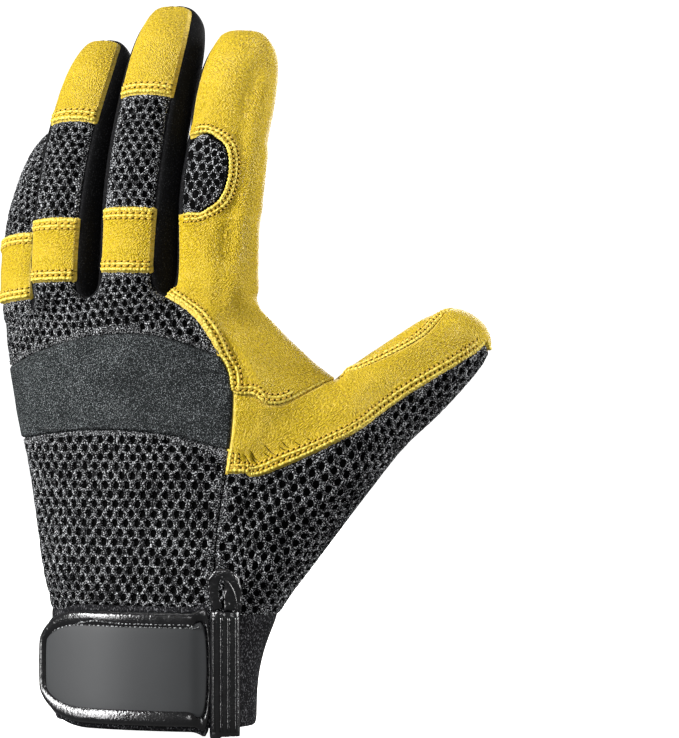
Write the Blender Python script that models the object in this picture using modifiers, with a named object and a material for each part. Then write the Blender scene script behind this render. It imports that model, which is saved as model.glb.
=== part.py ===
"""Leather work glove for the left hand, as a set of separate sewn panels round an open hand hollow.

Metres, +Z from the wrist hem to the fingertips, -Y the side that the back of the hand faces, +X the thumb
side. The origin is the middle of the wrist opening, in the plane of the cuff's hem.

One smooth closed-fingered surface is laid out from the tables below. Each of its faces belongs to a panel,
and every panel becomes a solid of its own: its patch of the surface, drawn back from the seams and thickened.
"""

import math

import bmesh
import bpy
import numpy as np
from mathutils import Vector

# Wrist and palm
CUFF_HEIGHT = 0.036
WRIST_WIDTH = 0.070
WRIST_DEPTH = 0.040
PALM_LENGTH = 0.1055
PALM_WIDTH = 0.0845
PALM_DEPTH = 0.037

# Fingers: length along the bent finger, from its base between the crotches to its tip
LITTLE_LENGTH = 0.074
RING_LENGTH = 0.096
MIDDLE_LENGTH = 0.1040
INDEX_LENGTH = 0.0925
LITTLE_WIDTH = 0.0206
RING_WIDTH = 0.0242
MIDDLE_WIDTH = 0.0256
INDEX_WIDTH = 0.0266
FINGER_FLATNESS = 0.78
FINGER_ROOT = 0.96

# Thumb
THUMB_LENGTH = 0.0735
THUMB_WIDTH = 0.0334
THUMB_DEPTH = 0.0300

# Sheets that the panels are cut from
LEATHER = 0.0012
LEATHER_RISE = 0.0005
MESH_CLOTH = 0.0014
SPANDEX = 0.0010
NEOPRENE = 0.0020
NEOPRENE_RISE = 0.0006
ELASTIC = 0.0018
SEAM_GAP = 0.0004

# Wrist closure, on the back of the cuff. Distances along the strap run from the binding to its free end.
STRAP_START = 0.0192
STRAP_LINE_SPARE = 0.0040
STRAP_LENGTH = 0.0622
STRAP_CLING = 0.0410
STRAP_LIFT = 0.0017
STRAP_BOTTOM = 0.0002
STRAP_TOP = 0.0370
STRAP_CORNER_LENGTH = 0.0190
STRAP_CORNER_HEIGHT = 0.0125
STRAP_THICKNESS = 0.0014
STRAP_BEVEL = 0.0003
STRAP_END_CURVE = 9.0
BORDER_WIDTH = 0.0050
BORDER_END_WIDTH = 0.0028
BORDER_THICKNESS = 0.0020
BORDER_OUTER_START = 0.0002
BORDER_INNER_START = 0.0012
PLATE_THICKNESS = 0.0011
LAYER_GAP = 0.0003
HOOK_TAPE_START = 0.0260
HOOK_TAPE_MARGIN = 0.0026
HOOK_TAPE_THICKNESS = 0.0011
HOOK_TAPE_BEVEL = 0.0002
BINDING_WIDTH = 0.0084
BINDING_BOTTOM = -0.0027
BINDING_TOP = 0.0372
BINDING_THICKNESS = 0.0040
BINDING_RIDGES = 3
BINDING_LOW_LIFT = 0.0010
BINDING_HIGH_LIFT = 0.0019
LOOP_THICKNESS = 0.0025

# The pull loop's middle line and its band: across from the binding's strap side as a share of BINDING_WIDTH,
# height above BINDING_TOP and band width in metres, and how far the band stands out
LOOP_COLUMNS = ("across", "above", "band", "out")
LOOP_STATIONS = (
    (0.70, 0.0000, 0.0050, 0.0034),
    (0.72, 0.0040, 0.0052, 0.0038),
    (0.72, 0.0078, 0.0048, 0.0042),
    (0.64, 0.0108, 0.0040, 0.0045),
    (0.43, 0.0126, 0.0034, 0.0047),
    (0.21, 0.0121, 0.0034, 0.0047),
    (0.08, 0.0100, 0.0034, 0.0045),
    (0.06, 0.0070, 0.0032, 0.0042),
    (0.13, 0.0038, 0.0030, 0.0039),
    (0.24, 0.0010, 0.0029, 0.0036),
)

# Close to the crotches between the fingers the sheets are pinched thinner
CROTCH_PINCH = 0.55
CROTCH_REACH = 0.0065

# The seams run along these angles round a finger: 0 is the thumb side, 90 the back, 270 the palm side
RIGHT_BACK_SEAM = 46.0
LEFT_BACK_SEAM = 134.0
LEFT_PALM_SEAM = 218.0
RIGHT_PALM_SEAM = 322.0
ROUNDNESS = 2.25

FINGER_SIDES = 8
THUMB_SIDES = 12
FIT_ROUNDS = 8

MATERIALS = {
    "leather": ((0.80, 0.56, 0.05), 0.55),
    "mesh": ((0.035, 0.036, 0.040), 0.85),
    "spandex": ((0.018, 0.018, 0.020), 0.80),
    "neoprene": ((0.045, 0.048, 0.053), 0.70),
    "elastic": ((0.025, 0.026, 0.028), 0.85),
    "trim": ((0.020, 0.021, 0.024), 0.30),
    "rubber": ((0.045, 0.047, 0.050), 0.55),
    "hook": ((0.10, 0.10, 0.10), 0.90),
}

# Palm rows, from the hem to the knuckles. z is a share of PALM_LENGTH above the cuff, or of CUFF_HEIGHT below
# it, at the little-finger edge, the middle, the thumb-side seam, the thumb-side corner and the thumb-side edge.
# x is a share of the width and y and thick of the depth at that height.
PALM_COLUMNS = (
    "name", "z_left", "z_mid", "z_seam", "z_corner", "z_right",
    "x_left", "x_seam", "x_corner", "x_right", "y_left", "y_right", "arch", "thick", "x_ulnar", "knuckle_share",
)
PALM_ROWS = (
    ("hem", -1.00, -1.00, -1.00, -1.00, -1.00, -0.485, 0.276, 0.400, 0.485, 0.25, -0.25, 0.0, 1.00, -0.37, 0.0),
    ("cuff_mid", -0.50, -0.50, -0.50, -0.50, -0.50, -0.490, 0.276, 0.405, 0.503, 0.25, -0.25, 0.0, 1.00, -0.37, 0.0),
    ("cuff_top", 0.00, 0.00, 0.00, -0.01, -0.02, -0.500, 0.276, 0.447, 0.586, 0.25, -0.24, 0.0, 1.00, -0.37, 0.0),
    ("thumb_low", 0.11, 0.11, 0.11, 0.12, 0.11, -0.528, 0.279, 0.475, 0.698, 0.28, -0.24, 0.0, 0.98, -0.40, 0.0),
    ("heel", 0.28, 0.28, 0.28, 0.29, 0.30, -0.548, 0.287, 0.480, 0.742, 0.33, -0.22, 0.0, 0.98, -0.44, 0.0),
    ("thumb_edge", 0.44, 0.46, 0.44, 0.44, 0.46, -0.566, 0.314, 0.490, 0.760, 0.39, -0.21, -0.03, 0.97, -0.47, 0.0),
    ("band_low", 0.54, 0.57, 0.51, 0.55, 0.60, -0.584, 0.321, 0.510, 0.770, 0.44, -0.21, -0.07, 0.94, -0.50, 0.1),
    ("band_mid", 0.65, 0.71, 0.69, 0.655, 0.73, -0.600, 0.328, 0.538, 0.747, 0.51, -0.21, -0.12, 0.90, -0.52, 0.2),
    ("band_top", 0.77, 0.87, 0.80, 0.800, 0.82, -0.610, 0.268, 0.420, 0.577, 0.58, -0.21, -0.17, 0.84, -0.54, 0.4),
    ("knuckle_low", 0.86, 0.96, 0.925, 0.905, 0.915, -0.618, 0.172, 0.300, 0.455, 0.65, -0.21, -0.20, 0.77, -0.55, 0.85),
)
BACK_SPREAD = (0.035, 0.13, 0.27, 0.44, 0.62, 0.81, 1.0)
KNUCKLE_SPREAD = (0.01, 0.06, 0.15, 0.31, 0.51, 0.75, 1.0)
PALM_SPREAD = (0.0, 0.12, 0.24, 0.37, 0.50, 0.63, 0.75, 0.88, 1.0)
PALM_ROUNDNESS = 2.3

# Fingers. bearing and pitch place a finger from the one before it in the chain that starts at the middle finger:
# the direction, and the distance as a share of their two half widths. base is a share of PALM_LENGTH.
# turn is how far the finger's thumb side is turned towards the back of the hand.
# The finger starts along lean_base, curl_base and bends evenly to lean_tip, curl_tip. Angles are in degrees.
FINGER_COLUMNS = (
    "name", "length", "width", "beside", "bearing", "pitch", "base", "turn_base", "turn_tip",
    "lean_base", "lean_tip", "curl_base", "curl_tip",
)
FINGERS = (
    ("little", LITTLE_LENGTH, LITTLE_WIDTH, "ring", 125.5, 1.030, 0.925, 44.0, 36.0, -6.0, 27.0, 2.0, 42.0),
    ("ring", RING_LENGTH, RING_WIDTH, "middle", 161.0, 1.03, 0.980, 31.0, 28.0, -1.0, 19.0, 0.0, 35.0),
    ("middle", MIDDLE_LENGTH, MIDDLE_WIDTH, None, 0.0, 0.0, 1.00, 24.0, 24.0, 0.5, 15.5, -1.0, 33.0),
    ("index", INDEX_LENGTH, INDEX_WIDTH, "middle", -10.0, 1.05, 0.985, 24.0, 24.0, 0.0, 12.5, -3.0, 28.0),
)
MIDDLE_ACROSS = -0.075
MIDDLE_DEEP = -0.08

# Rings along each finger: share of its length, size against its width, angle of the right back seam,
# and the panel on the back between this ring and the next.
FINGER_RINGS = {
    "little": (
        (0.08, 1.00, RIGHT_BACK_SEAM, "little_knuckle_patch"),
        (0.36, 1.02, RIGHT_BACK_SEAM, "little_finger_mesh"),
        (0.58, 1.00, RIGHT_BACK_SEAM, "little_finger_mesh"),
        (0.79, 0.95, RIGHT_BACK_SEAM, "little_finger_mesh"),
        (0.94, 0.70, RIGHT_BACK_SEAM, "little_finger_mesh"),
    ),
    "ring": (
        (0.062, 1.00, RIGHT_BACK_SEAM, "ring_knuckle_patch"),
        (0.265, 1.02, RIGHT_BACK_SEAM, "ring_finger_mesh"),
        (0.44, 1.02, RIGHT_BACK_SEAM, "ring_finger_mesh"),
        (0.61, 1.00, RIGHT_BACK_SEAM, "ring_tip_cap"),
        (0.82, 0.95, RIGHT_BACK_SEAM, "ring_tip_cap"),
        (0.953, 0.68, RIGHT_BACK_SEAM, "ring_tip_cap"),
    ),
    "middle": (
        (0.065, 1.00, RIGHT_BACK_SEAM, "middle_knuckle_patch"),
        (0.255, 1.02, RIGHT_BACK_SEAM, "middle_finger_mesh"),
        (0.45, 1.03, RIGHT_BACK_SEAM, "middle_finger_mesh"),
        (0.62, 1.01, RIGHT_BACK_SEAM, "middle_tip_cap"),
        (0.83, 0.96, RIGHT_BACK_SEAM, "middle_tip_cap"),
        (0.957, 0.68, RIGHT_BACK_SEAM, "middle_tip_cap"),
    ),
    "index": (
        (0.07, 1.00, 52.0, "index_leather"),
        (0.22, 1.01, 92.0, "index_leather"),
        (0.285, 1.02, 98.0, "index_finger_mesh"),
        (0.315, 1.03, 78.0, "index_finger_mesh"),
        (0.375, 1.03, 64.0, "index_finger_mesh"),
        (0.465, 1.03, 63.0, "index_finger_mesh"),
        (0.528, 1.03, 76.0, "index_finger_mesh"),
        (0.558, 1.02, 97.0, "index_leather"),
        (0.62, 1.01, 96.0, "index_leather"),
        (0.80, 0.99, 66.0, "index_leather"),
        (0.952, 0.74, RIGHT_BACK_SEAM, "index_leather"),
    ),
}

# Thumb rings: share of THUMB_LENGTH, sideways drift as a share of THUMB_WIDTH, width and depth against the thumb's,
# and the angles round it, from its upper edge over the back, of the upper seam, the mesh seam and the palm seam.
THUMB_COLUMNS = ("along", "drift", "width", "depth", "tilt", "upper_seam", "mesh_seam", "palm_seam", "deep")
THUMB_RINGS = (
    (0.188, 0.105, 1.434, 1.12, -40.0, 18.0, 83.0, 215.0, 0.00),
    (0.395, 0.162, 1.000, 1.00, -18.0, 32.0, 96.0, 218.0, 0.06),
    (0.596, 0.138, 0.903, 0.90, -16.0, 46.0, 101.0, 222.0, 0.12),
    (0.781, 0.119, 0.798, 0.81, -15.0, 48.0, 111.0, 226.0, 0.19),
    (0.900, 0.093, 0.659, 0.68, -14.0, 14.0, 119.0, 230.0, 0.24),
    (0.964, 0.042, 0.430, 0.46, -14.0, 10.0, 122.0, 230.0, 0.27),
)
THUMB_RISE = 42.0
THUMB_ROOT_ACROSS = 0.736
THUMB_ROOT_UP = 0.417
THUMB_ROOT_DEEP = -0.13

# Panels: material, how far the outer face stands off the glove's surface, and the sheet's thickness
PANELS = {
    "palm_leather": ("leather", 0.0, LEATHER),
    "index_leather": ("leather", LEATHER_RISE, LEATHER),
    "thumb_back_leather": ("leather", LEATHER_RISE, LEATHER),
    "thumb_palm_leather": ("leather", 0.0, LEATHER),
    "thumb_mesh": ("mesh", 0.0, MESH_CLOTH),
    "back_mesh": ("mesh", 0.0, MESH_CLOTH),
    "knuckle_band": ("neoprene", NEOPRENE_RISE, NEOPRENE),
    "knuckle_mesh": ("mesh", 0.0, MESH_CLOTH),
    "side_panel": ("spandex", 0.0, SPANDEX),
    "little_knuckle_patch": ("leather", LEATHER_RISE, LEATHER),
    "ring_knuckle_patch": ("leather", LEATHER_RISE, LEATHER),
    "middle_knuckle_patch": ("leather", LEATHER_RISE, LEATHER),
    "little_finger_mesh": ("mesh", 0.0, MESH_CLOTH),
    "ring_finger_mesh": ("mesh", 0.0, MESH_CLOTH),
    "middle_finger_mesh": ("mesh", 0.0, MESH_CLOTH),
    "index_finger_mesh": ("mesh", 0.0, MESH_CLOTH),
    "ring_tip_cap": ("leather", LEATHER_RISE, LEATHER),
    "middle_tip_cap": ("leather", LEATHER_RISE, LEATHER),
    "little_ring_fourchette": ("spandex", 0.0, SPANDEX),
    "ring_middle_fourchette": ("spandex", 0.0, SPANDEX),
    "middle_index_fourchette": ("spandex", 0.0, SPANDEX),
    "cuff": ("elastic", 0.0, ELASTIC),
}


def unit(vector):
    return vector / np.linalg.norm(vector)


def blend(start, end, share):
    return start + (end - start) * share


def ellipse_point(centre, across, back, half_width, half_depth, degrees, roundness=ROUNDNESS):
    """A point on a rounded oval: 0 degrees along across, 90 along back."""
    c, s = math.cos(math.radians(degrees)), math.sin(math.radians(degrees))
    reach = (abs(c) ** roundness + abs(s) ** roundness) ** (-1 / roundness)
    return centre + across * (half_width * reach * c) + back * (half_depth * reach * s)


def palm_size(share):
    """Width and depth of the hand at a share of the palm's length, the wrist's below it."""
    share = max(0.0, share)
    return blend(WRIST_WIDTH, PALM_WIDTH, share), blend(WRIST_DEPTH, PALM_DEPTH, share)


def palm_height(share):
    return CUFF_HEIGHT + share * (PALM_LENGTH if share > 0 else CUFF_HEIGHT)


class PalmRow:
    """One ring of points round the palm: nine on the back, nine on the palm side, and one at each edge."""

    def __init__(self, values):
        row = dict(zip(PALM_COLUMNS, values))
        self.name = row["name"]
        self.width, self.depth = palm_size(row["z_mid"])
        self.row = row
        self.left, self.right = row["x_left"] * self.width, row["x_right"] * self.width

    def point(self, x, side, share_z):
        """The point at x on the back, side -1, the palm, side 1, or an edge, side 0."""
        middle, half = (self.left + self.right) / 2, (self.right - self.left) / 2
        u = max(-1.0, min(1.0, (x - middle) / half))
        bulge = (1 - abs(u) ** PALM_ROUNDNESS) ** (1 / PALM_ROUNDNESS)
        lean = blend(self.row["y_left"], self.row["y_right"], (u + 1) / 2)
        centre = lean + self.row["arch"] * (1 - u * u)
        y = (centre + side * bulge * self.row["thick"] / 2) * self.depth
        return np.array((x, y, palm_height(share_z)))

    def back_height(self, share):
        """Height of the back's line, a share of the way from the little-finger edge to the seam: an arc."""
        low, mid, high = self.row["z_left"], self.row["z_mid"], self.row["z_seam"]
        arch = 4 * share * (1 - share)
        return blend(low, high, share) + arch * (mid - (low + high) / 2)

    def points(self):
        row, width = self.row, self.width
        seam, corner = row["x_seam"] * width, row["x_corner"] * width
        made = {
            "left": self.point(self.left, 0, row["z_left"]),
            "right": self.point(self.right, 0, row["z_right"]),
        }
        for column, shares in enumerate(zip(BACK_SPREAD, KNUCKLE_SPREAD)):
            share = blend(*shares, row["knuckle_share"])
            made[f"back{column}"] = self.point(blend(self.left, seam, share), -1, self.back_height(share))
        made["back7"] = self.point((seam + corner) / 2, -1, (row["z_seam"] + row["z_corner"]) / 2)
        made["back8"] = self.point(corner, -1, row["z_corner"])
        ulnar = row["x_ulnar"] * width
        for column, share in enumerate(PALM_SPREAD):
            x = blend(ulnar, corner, share)
            made[f"palm{column}"] = self.point(x, 1, blend(row["z_left"], row["z_corner"], share))
        return made


class Finger:
    """A bent finger: where it starts, which way it bends, and its rings of eight points."""

    def __init__(self, values, placed):
        row = dict(zip(FINGER_COLUMNS, values))
        self.name, self.length, self.row = row["name"], row["length"], row
        self.half_width, self.half_depth = row["width"] / 2, row["width"] / 2 * FINGER_FLATNESS
        if row["beside"] is None:
            x, y = MIDDLE_ACROSS * PALM_WIDTH, MIDDLE_DEEP * PALM_DEPTH
        else:
            other = placed[row["beside"]]
            away = (self.half_width + other.half_width) * row["pitch"]
            bearing = math.radians(row["bearing"])
            x = other.base[0] + away * math.cos(bearing)
            y = other.base[1] + away * math.sin(bearing)
        self.base = np.array((x, y, palm_height(row["base"])))

    def direction(self, share):
        lean = math.radians(blend(self.row["lean_base"], self.row["lean_tip"], share))
        curl = math.radians(blend(self.row["curl_base"], self.row["curl_tip"], share))
        return np.array((math.sin(lean) * math.cos(curl), math.sin(curl), math.cos(lean) * math.cos(curl)))

    def centre(self, share, steps=24):
        along = np.array(self.base)
        for step in range(steps):
            along = along + self.direction((step + 0.5) / steps * share) * self.length * share / steps
        return along

    def ring(self, share, size, right_seam):
        """Eight points in the order of FINGER_ORDER, at the seams and midway between them."""
        axis = self.direction(share)
        facing = np.array((0.0, -1.0, 0.0))
        facing = unit(facing - axis * (facing @ axis))
        side = np.cross(axis, facing)
        turn = math.radians(blend(self.row["turn_base"], self.row["turn_tip"], share))
        back = math.cos(turn) * facing - math.sin(turn) * side
        across = math.cos(turn) * side + math.sin(turn) * facing
        seams = (LEFT_BACK_SEAM, right_seam, RIGHT_PALM_SEAM - 360, LEFT_PALM_SEAM - 360)
        after = (right_seam, RIGHT_PALM_SEAM - 360, LEFT_PALM_SEAM - 360, LEFT_BACK_SEAM - 360)
        angles = [angle for seam, end in zip(seams, after) for angle in (seam, (seam + end) / 2)]
        centre = self.centre(share)
        return [
            ellipse_point(centre, across, back, self.half_width * size, self.half_depth * size, degrees)
            for degrees in angles
        ]


def placed_fingers():
    """The four fingers by name, each placed beside one that is placed already."""
    waiting, placed = list(FINGERS), {}
    while waiting:
        values = waiting.pop(0)
        beside = dict(zip(FINGER_COLUMNS, values))["beside"]
        if beside is None or beside in placed:
            placed[values[0]] = Finger(values, placed)
        else:
            waiting.append(values)
    return [placed[values[0]] for values in FINGERS]


class Surface:
    """Points and labelled quads of the glove's cage."""

    def __init__(self):
        self.points, self.faces, self.labels, self.crotches = [], [], [], []

    def add(self, point):
        self.points.append(np.array(point, float))
        return len(self.points) - 1

    def quad(self, corners, label):
        self.faces.append(tuple(corners))
        self.labels.append(label)


def knuckle_row(surface, fingers):
    """The ring of points where the fingers begin: neighbours share the three points of their crotch."""
    base = [finger.ring(0.0, FINGER_ROOT, RIGHT_BACK_SEAM) for finger in fingers]
    row, crotch = {}, []
    row["left"], row["right"] = surface.add(base[0][7]), surface.add(base[-1][3])
    for k, ring in enumerate(base):
        row[f"back{2 * k + 1}"], row[f"palm{2 * k + 1}"] = surface.add(ring[1]), surface.add(ring[5])
        if k == 0:
            row["back0"], row["palm0"] = surface.add(ring[0]), surface.add(ring[6])
        if k + 1 == len(base):
            row[f"back{2 * k + 2}"], row[f"palm{2 * k + 2}"] = surface.add(ring[2]), surface.add(ring[4])
            continue
        after = base[k + 1]
        row[f"back{2 * k + 2}"] = surface.add((ring[2] + after[0]) / 2)
        row[f"palm{2 * k + 2}"] = surface.add((ring[4] + after[6]) / 2)
        crotch.append(surface.add((ring[3] + after[7]) / 2))
        surface.crotches += [row[f"back{2 * k + 2}"], row[f"palm{2 * k + 2}"], crotch[-1]]
    return row, crotch


def finger_side_labels(fingers, k):
    """Panels on the left side, the right side and the palm side of finger k."""
    names = [finger.name for finger in fingers]
    left = None if k == 0 else f"{names[k - 1]}_{names[k]}_fourchette"
    right = "index_leather" if k + 1 == len(names) else f"{names[k]}_{names[k + 1]}_fourchette"
    return left, right, "palm_leather"


def add_finger(surface, finger, k, fingers, row, crotch):
    """Rings of quads from the knuckle row to the fingertip, closed by four quads round the tip."""
    left_label, right_label, palm_label = finger_side_labels(fingers, k)
    left_mid = row["left"] if k == 0 else crotch[k - 1]
    right_mid = row["right"] if k + 1 == len(fingers) else crotch[k]
    before = [
        row[f"back{2 * k}"], row[f"back{2 * k + 1}"], row[f"back{2 * k + 2}"], right_mid,
        row[f"palm{2 * k + 2}"], row[f"palm{2 * k + 1}"], row[f"palm{2 * k}"], left_mid,
    ]
    back_label = "index_leather" if finger.name == "index" else "knuckle_mesh"
    for share, size, right_seam, next_label in FINGER_RINGS[finger.name]:
        ring = [surface.add(point) for point in finger.ring(share, size, right_seam)]
        side = left_label or back_label
        labels = (back_label, back_label, right_label, right_label, palm_label, palm_label, side, side)
        for i in range(FINGER_SIDES):
            j = (i + 1) % FINGER_SIDES
            surface.quad((before[i], before[j], ring[j], ring[i]), labels[i])
        before, back_label = ring, next_label
    tip = surface.add(finger.centre(1.0))
    last_left = left_label or back_label
    back_left = last_left if finger.name != "index" else "index_leather"
    palm_left = last_left if finger.name != "index" else "palm_leather"
    palm_right = right_label if finger.name != "index" else "palm_leather"
    surface.quad((before[7], before[0], before[1], tip), back_left)
    surface.quad((before[1], before[2], before[3], tip), right_label)
    surface.quad((before[3], before[4], before[5], tip), palm_right)
    surface.quad((before[5], before[6], before[7], tip), palm_left)


def thumb_ring(values):
    """Twelve points round the thumb, from the mesh seam up over the back and round by the palm side."""
    row = dict(zip(THUMB_COLUMNS, values))
    rise = math.radians(THUMB_RISE)
    axis = np.array((math.cos(rise), 0.0, math.sin(rise)))
    upper = np.array((-math.sin(rise), 0.0, math.cos(rise)))
    root_share = THUMB_ROOT_UP
    width, depth = palm_size(root_share)
    root = np.array((THUMB_ROOT_ACROSS * width, THUMB_ROOT_DEEP * depth, palm_height(root_share)))
    centre = root + axis * THUMB_LENGTH * row["along"] + upper * THUMB_WIDTH * row["drift"]
    centre = centre + np.array((0.0, THUMB_DEPTH * row["deep"], 0.0))
    tilt = math.radians(row["tilt"])
    across = math.cos(tilt) * upper - math.sin(tilt) * axis
    back = np.array((0.0, -1.0, 0.0))
    upper_seam, mesh_seam, palm_seam = row["upper_seam"], row["mesh_seam"], row["palm_seam"]
    angles = [blend(mesh_seam, upper_seam, i / 3) for i in range(3)]
    angles += [blend(upper_seam, palm_seam - 360, i / 5) for i in range(5)]
    angles += [blend(palm_seam, mesh_seam, i / 4) for i in range(4)]
    half_width, half_depth = THUMB_WIDTH / 2 * row["width"], THUMB_DEPTH / 2 * row["depth"]
    return [ellipse_point(centre, across, back, half_width, half_depth, degrees) for degrees in angles]


def thumb_tip():
    """The point at the thumb's very end."""
    tip = list(THUMB_RINGS[-1])
    tip[0], tip[1], tip[2], tip[3] = 1.0, 0.0, 0.0, 0.0
    return thumb_ring(tip)[0]


THUMB_LABELS = ("thumb_back_leather",) * 3 + ("thumb_palm_leather",) * 5 + ("thumb_mesh",) * 4


def add_thumb(surface, rows):
    """Rings of quads from the hole in the palm's thumb side to the thumb's tip."""
    by_name = {name: row for name, row in rows}
    before = [
        by_name["thumb_edge"]["back8"], by_name["band_low"]["back8"], by_name["band_mid"]["back8"],
        by_name["band_mid"]["right"], by_name["band_mid"]["palm8"], by_name["band_low"]["palm8"],
        by_name["thumb_edge"]["palm8"], by_name["heel"]["palm8"], by_name["thumb_low"]["palm8"],
        by_name["thumb_low"]["right"], by_name["thumb_low"]["back8"], by_name["heel"]["back8"],
    ]
    for values in THUMB_RINGS:
        ring = [surface.add(point) for point in thumb_ring(values)]
        for i in range(THUMB_SIDES):
            j = (i + 1) % THUMB_SIDES
            surface.quad((before[j], before[i], ring[i], ring[j]), THUMB_LABELS[i])
        before = ring
    tip = surface.add(thumb_tip())
    ends = ("thumb_back_leather",) * 2 + ("thumb_palm_leather",) * 3 + ("thumb_back_leather",)
    for i, label in enumerate(ends):
        a, b, c = (before[(2 * i + k) % THUMB_SIDES] for k in range(3))
        surface.quad((c, b, a, tip), label)


RING_ORDER = ["left"] + [f"back{i}" for i in range(9)] + ["right"] + [f"palm{i}" for i in range(8, -1, -1)]
HOLE_ROWS = ("thumb_low", "heel", "thumb_edge", "band_low")
NO_EDGE_POINT = ("heel", "thumb_edge", "band_low")


def palm_label(below, column, after):
    """The panel of the palm's face that starts at row below and lies between two columns."""
    thumb_side = column in ("back6", "back7", "back8", "right")
    if below in ("hem", "cuff_mid"):
        return "cuff"
    if column.startswith("palm") and after != "left":
        return "palm_leather"
    if after == "left":
        return "knuckle_mesh" if below in ("band_top", "knuckle_low") else "side_panel"
    if below in ("cuff_top", "thumb_low", "heel"):
        return "thumb_mesh" if thumb_side else "back_mesh"
    if below == "thumb_edge":
        return "thumb_back_leather" if thumb_side else "back_mesh"
    if below == "band_low":
        return "thumb_back_leather" if thumb_side else "knuckle_band"
    if below == "band_mid":
        return "index_leather" if thumb_side else "knuckle_band"
    return "index_leather" if thumb_side else "knuckle_mesh"


def glove_cage():
    """The whole cage: palm tube, four fingers and the thumb."""
    surface = Surface()
    rows = []
    for values in PALM_ROWS:
        row = PalmRow(values)
        points = row.points()
        if row.name in NO_EDGE_POINT:
            del points["right"]
        rows.append((row.name, {key: surface.add(point) for key, point in points.items()}))
    fingers = placed_fingers()
    top, crotch = knuckle_row(surface, fingers)
    rows.append(("knuckles", top))
    for (below, low), (_, high) in zip(rows, rows[1:]):
        for column, after in zip(RING_ORDER, RING_ORDER[1:] + RING_ORDER[:1]):
            if below in HOLE_ROWS and "right" in (column, after):
                continue
            corners = (low[column], low[after], high[after], high[column])
            surface.quad(corners, palm_label(below, column, after))
    for k, finger in enumerate(fingers):
        add_finger(surface, finger, k, fingers, top, crotch)
    add_thumb(surface, rows)
    return surface


def smooth_surface(surface, levels=1):
    """Subdivides the cage, fitted first, so that the smooth surface passes through the cage's own points.

    Returns the points, their normals, the quads and each quad's label."""
    mesh = bpy.data.meshes.new("glove_cage")
    mesh.from_pydata([tuple(point) for point in surface.points], [], surface.faces)
    names = sorted(set(surface.labels))
    mesh.polygons.foreach_set("material_index", [names.index(label) for label in surface.labels])
    cage = bpy.data.objects.new("glove_cage", mesh)
    bpy.context.scene.collection.objects.link(cage)
    subdivision = cage.modifiers.new("smooth", "SUBSURF")
    subdivision.levels = subdivision.render_levels = levels
    for name in names:
        mesh.materials.append(bpy.data.materials.get(name) or bpy.data.materials.new(name))
    target = np.array(surface.points)
    fitted = target.copy()
    graph = bpy.context.evaluated_depsgraph_get()
    for _ in range(FIT_ROUNDS):
        mesh.vertices.foreach_set("co", fitted.ravel())
        mesh.update()
        graph.update()
        made = cage.evaluated_get(graph).to_mesh()
        points = np.empty(len(made.vertices) * 3)
        made.vertices.foreach_get("co", points)
        fitted += target - points.reshape(-1, 3)[: len(target)]
    normals = np.array([vertex.normal for vertex in made.vertices])
    faces = [tuple(face.vertices) for face in made.polygons]
    labels = [names[face.material_index] for face in made.polygons]
    points = points.reshape(-1, 3).copy()
    cage.evaluated_get(graph).to_mesh_clear()
    bpy.data.objects.remove(cage)
    for name in names:
        bpy.data.materials.remove(bpy.data.materials[name])
    return points, normals, faces, labels


def drawn_back(bm, gap):
    """Moves the border of an open sheet inwards along itself, by gap."""
    moves = {}
    for edge in bm.edges:
        if not edge.is_boundary:
            continue
        face = edge.link_faces[0]
        along = (edge.verts[1].co - edge.verts[0].co).normalized()
        inward = face.calc_center_median() - (edge.verts[0].co + edge.verts[1].co) / 2
        inward = (inward - along * inward.dot(along)).normalized()
        for vert in edge.verts:
            moves.setdefault(vert, []).append(inward)
    for vert, ways in moves.items():
        total = sum(ways[1:], ways[0].copy())
        sharpness = max(0.6, 1 + ways[0].dot(ways[-1])) if len(ways) > 1 else 1.0
        vert.co += total * (gap / sharpness)


def sheet_object(name, points, normals, faces, rise, depths, material, gap=SEAM_GAP / 2):
    """A closed solid from a patch of a surface: drawn back at its border and extruded inwards along the normals.

    depths is the sheet's thickness at each of the surface's points."""
    used = sorted({index for face in faces for index in face})
    number = {old: new for new, old in enumerate(used)}
    mesh = bpy.data.meshes.new(name)
    mesh.from_pydata([tuple(points[i]) for i in used], [], [tuple(number[i] for i in face) for face in faces])
    bm = bmesh.new()
    bm.from_mesh(mesh)
    drawn_back(bm, gap)
    source = bm.verts.layers.int.new("source")
    for vert in bm.verts:
        vert[source] = used[vert.index]
        vert.co += Vector(normals[vert[source]] * rise)
    made = bmesh.ops.extrude_face_region(bm, geom=bm.faces[:], use_keep_orig=True)
    for vert in (item for item in made["geom"] if isinstance(item, bmesh.types.BMVert)):
        vert.co -= Vector(normals[vert[source]] * depths[vert[source]])
    return closed_object(name, bm, material, mesh)


def closed_object(name, bm, material, mesh=None, sharp=40):
    """Turns the faces outwards and makes the object."""
    bmesh.ops.recalc_face_normals(bm, faces=bm.faces)
    if bm.calc_volume(signed=True) < 0:
        bmesh.ops.reverse_faces(bm, faces=bm.faces)
    mesh = mesh or bpy.data.meshes.new(name)
    bm.to_mesh(mesh)
    bm.free()
    mesh.shade_smooth()
    mesh.set_sharp_from_angle(angle=math.radians(sharp))
    mesh.materials.append(finish(material))
    made = bpy.data.objects.new(name, mesh)
    collection().objects.link(made)
    return made


def lofted(name, rings, material, closed=False, sharp=40):
    """A solid through rings of points: capped at its two ends, or closed into a hoop."""
    bm = bmesh.new()
    made = [[bm.verts.new(point) for point in ring] for ring in rings]
    pairs = list(zip(made, made[1:])) + ([(made[-1], made[0])] if closed else [])
    for ring, after in pairs:
        for i in range(len(ring)):
            j = (i + 1) % len(ring)
            bm.faces.new((ring[i], ring[j], after[j], after[i]))
    if not closed:
        bm.faces.new(made[0])
        bm.faces.new(made[-1])
        bmesh.ops.triangulate(bm, faces=[face for face in bm.faces if len(face.verts) > 4])
    return closed_object(name, bm, material, sharp=sharp)


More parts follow.
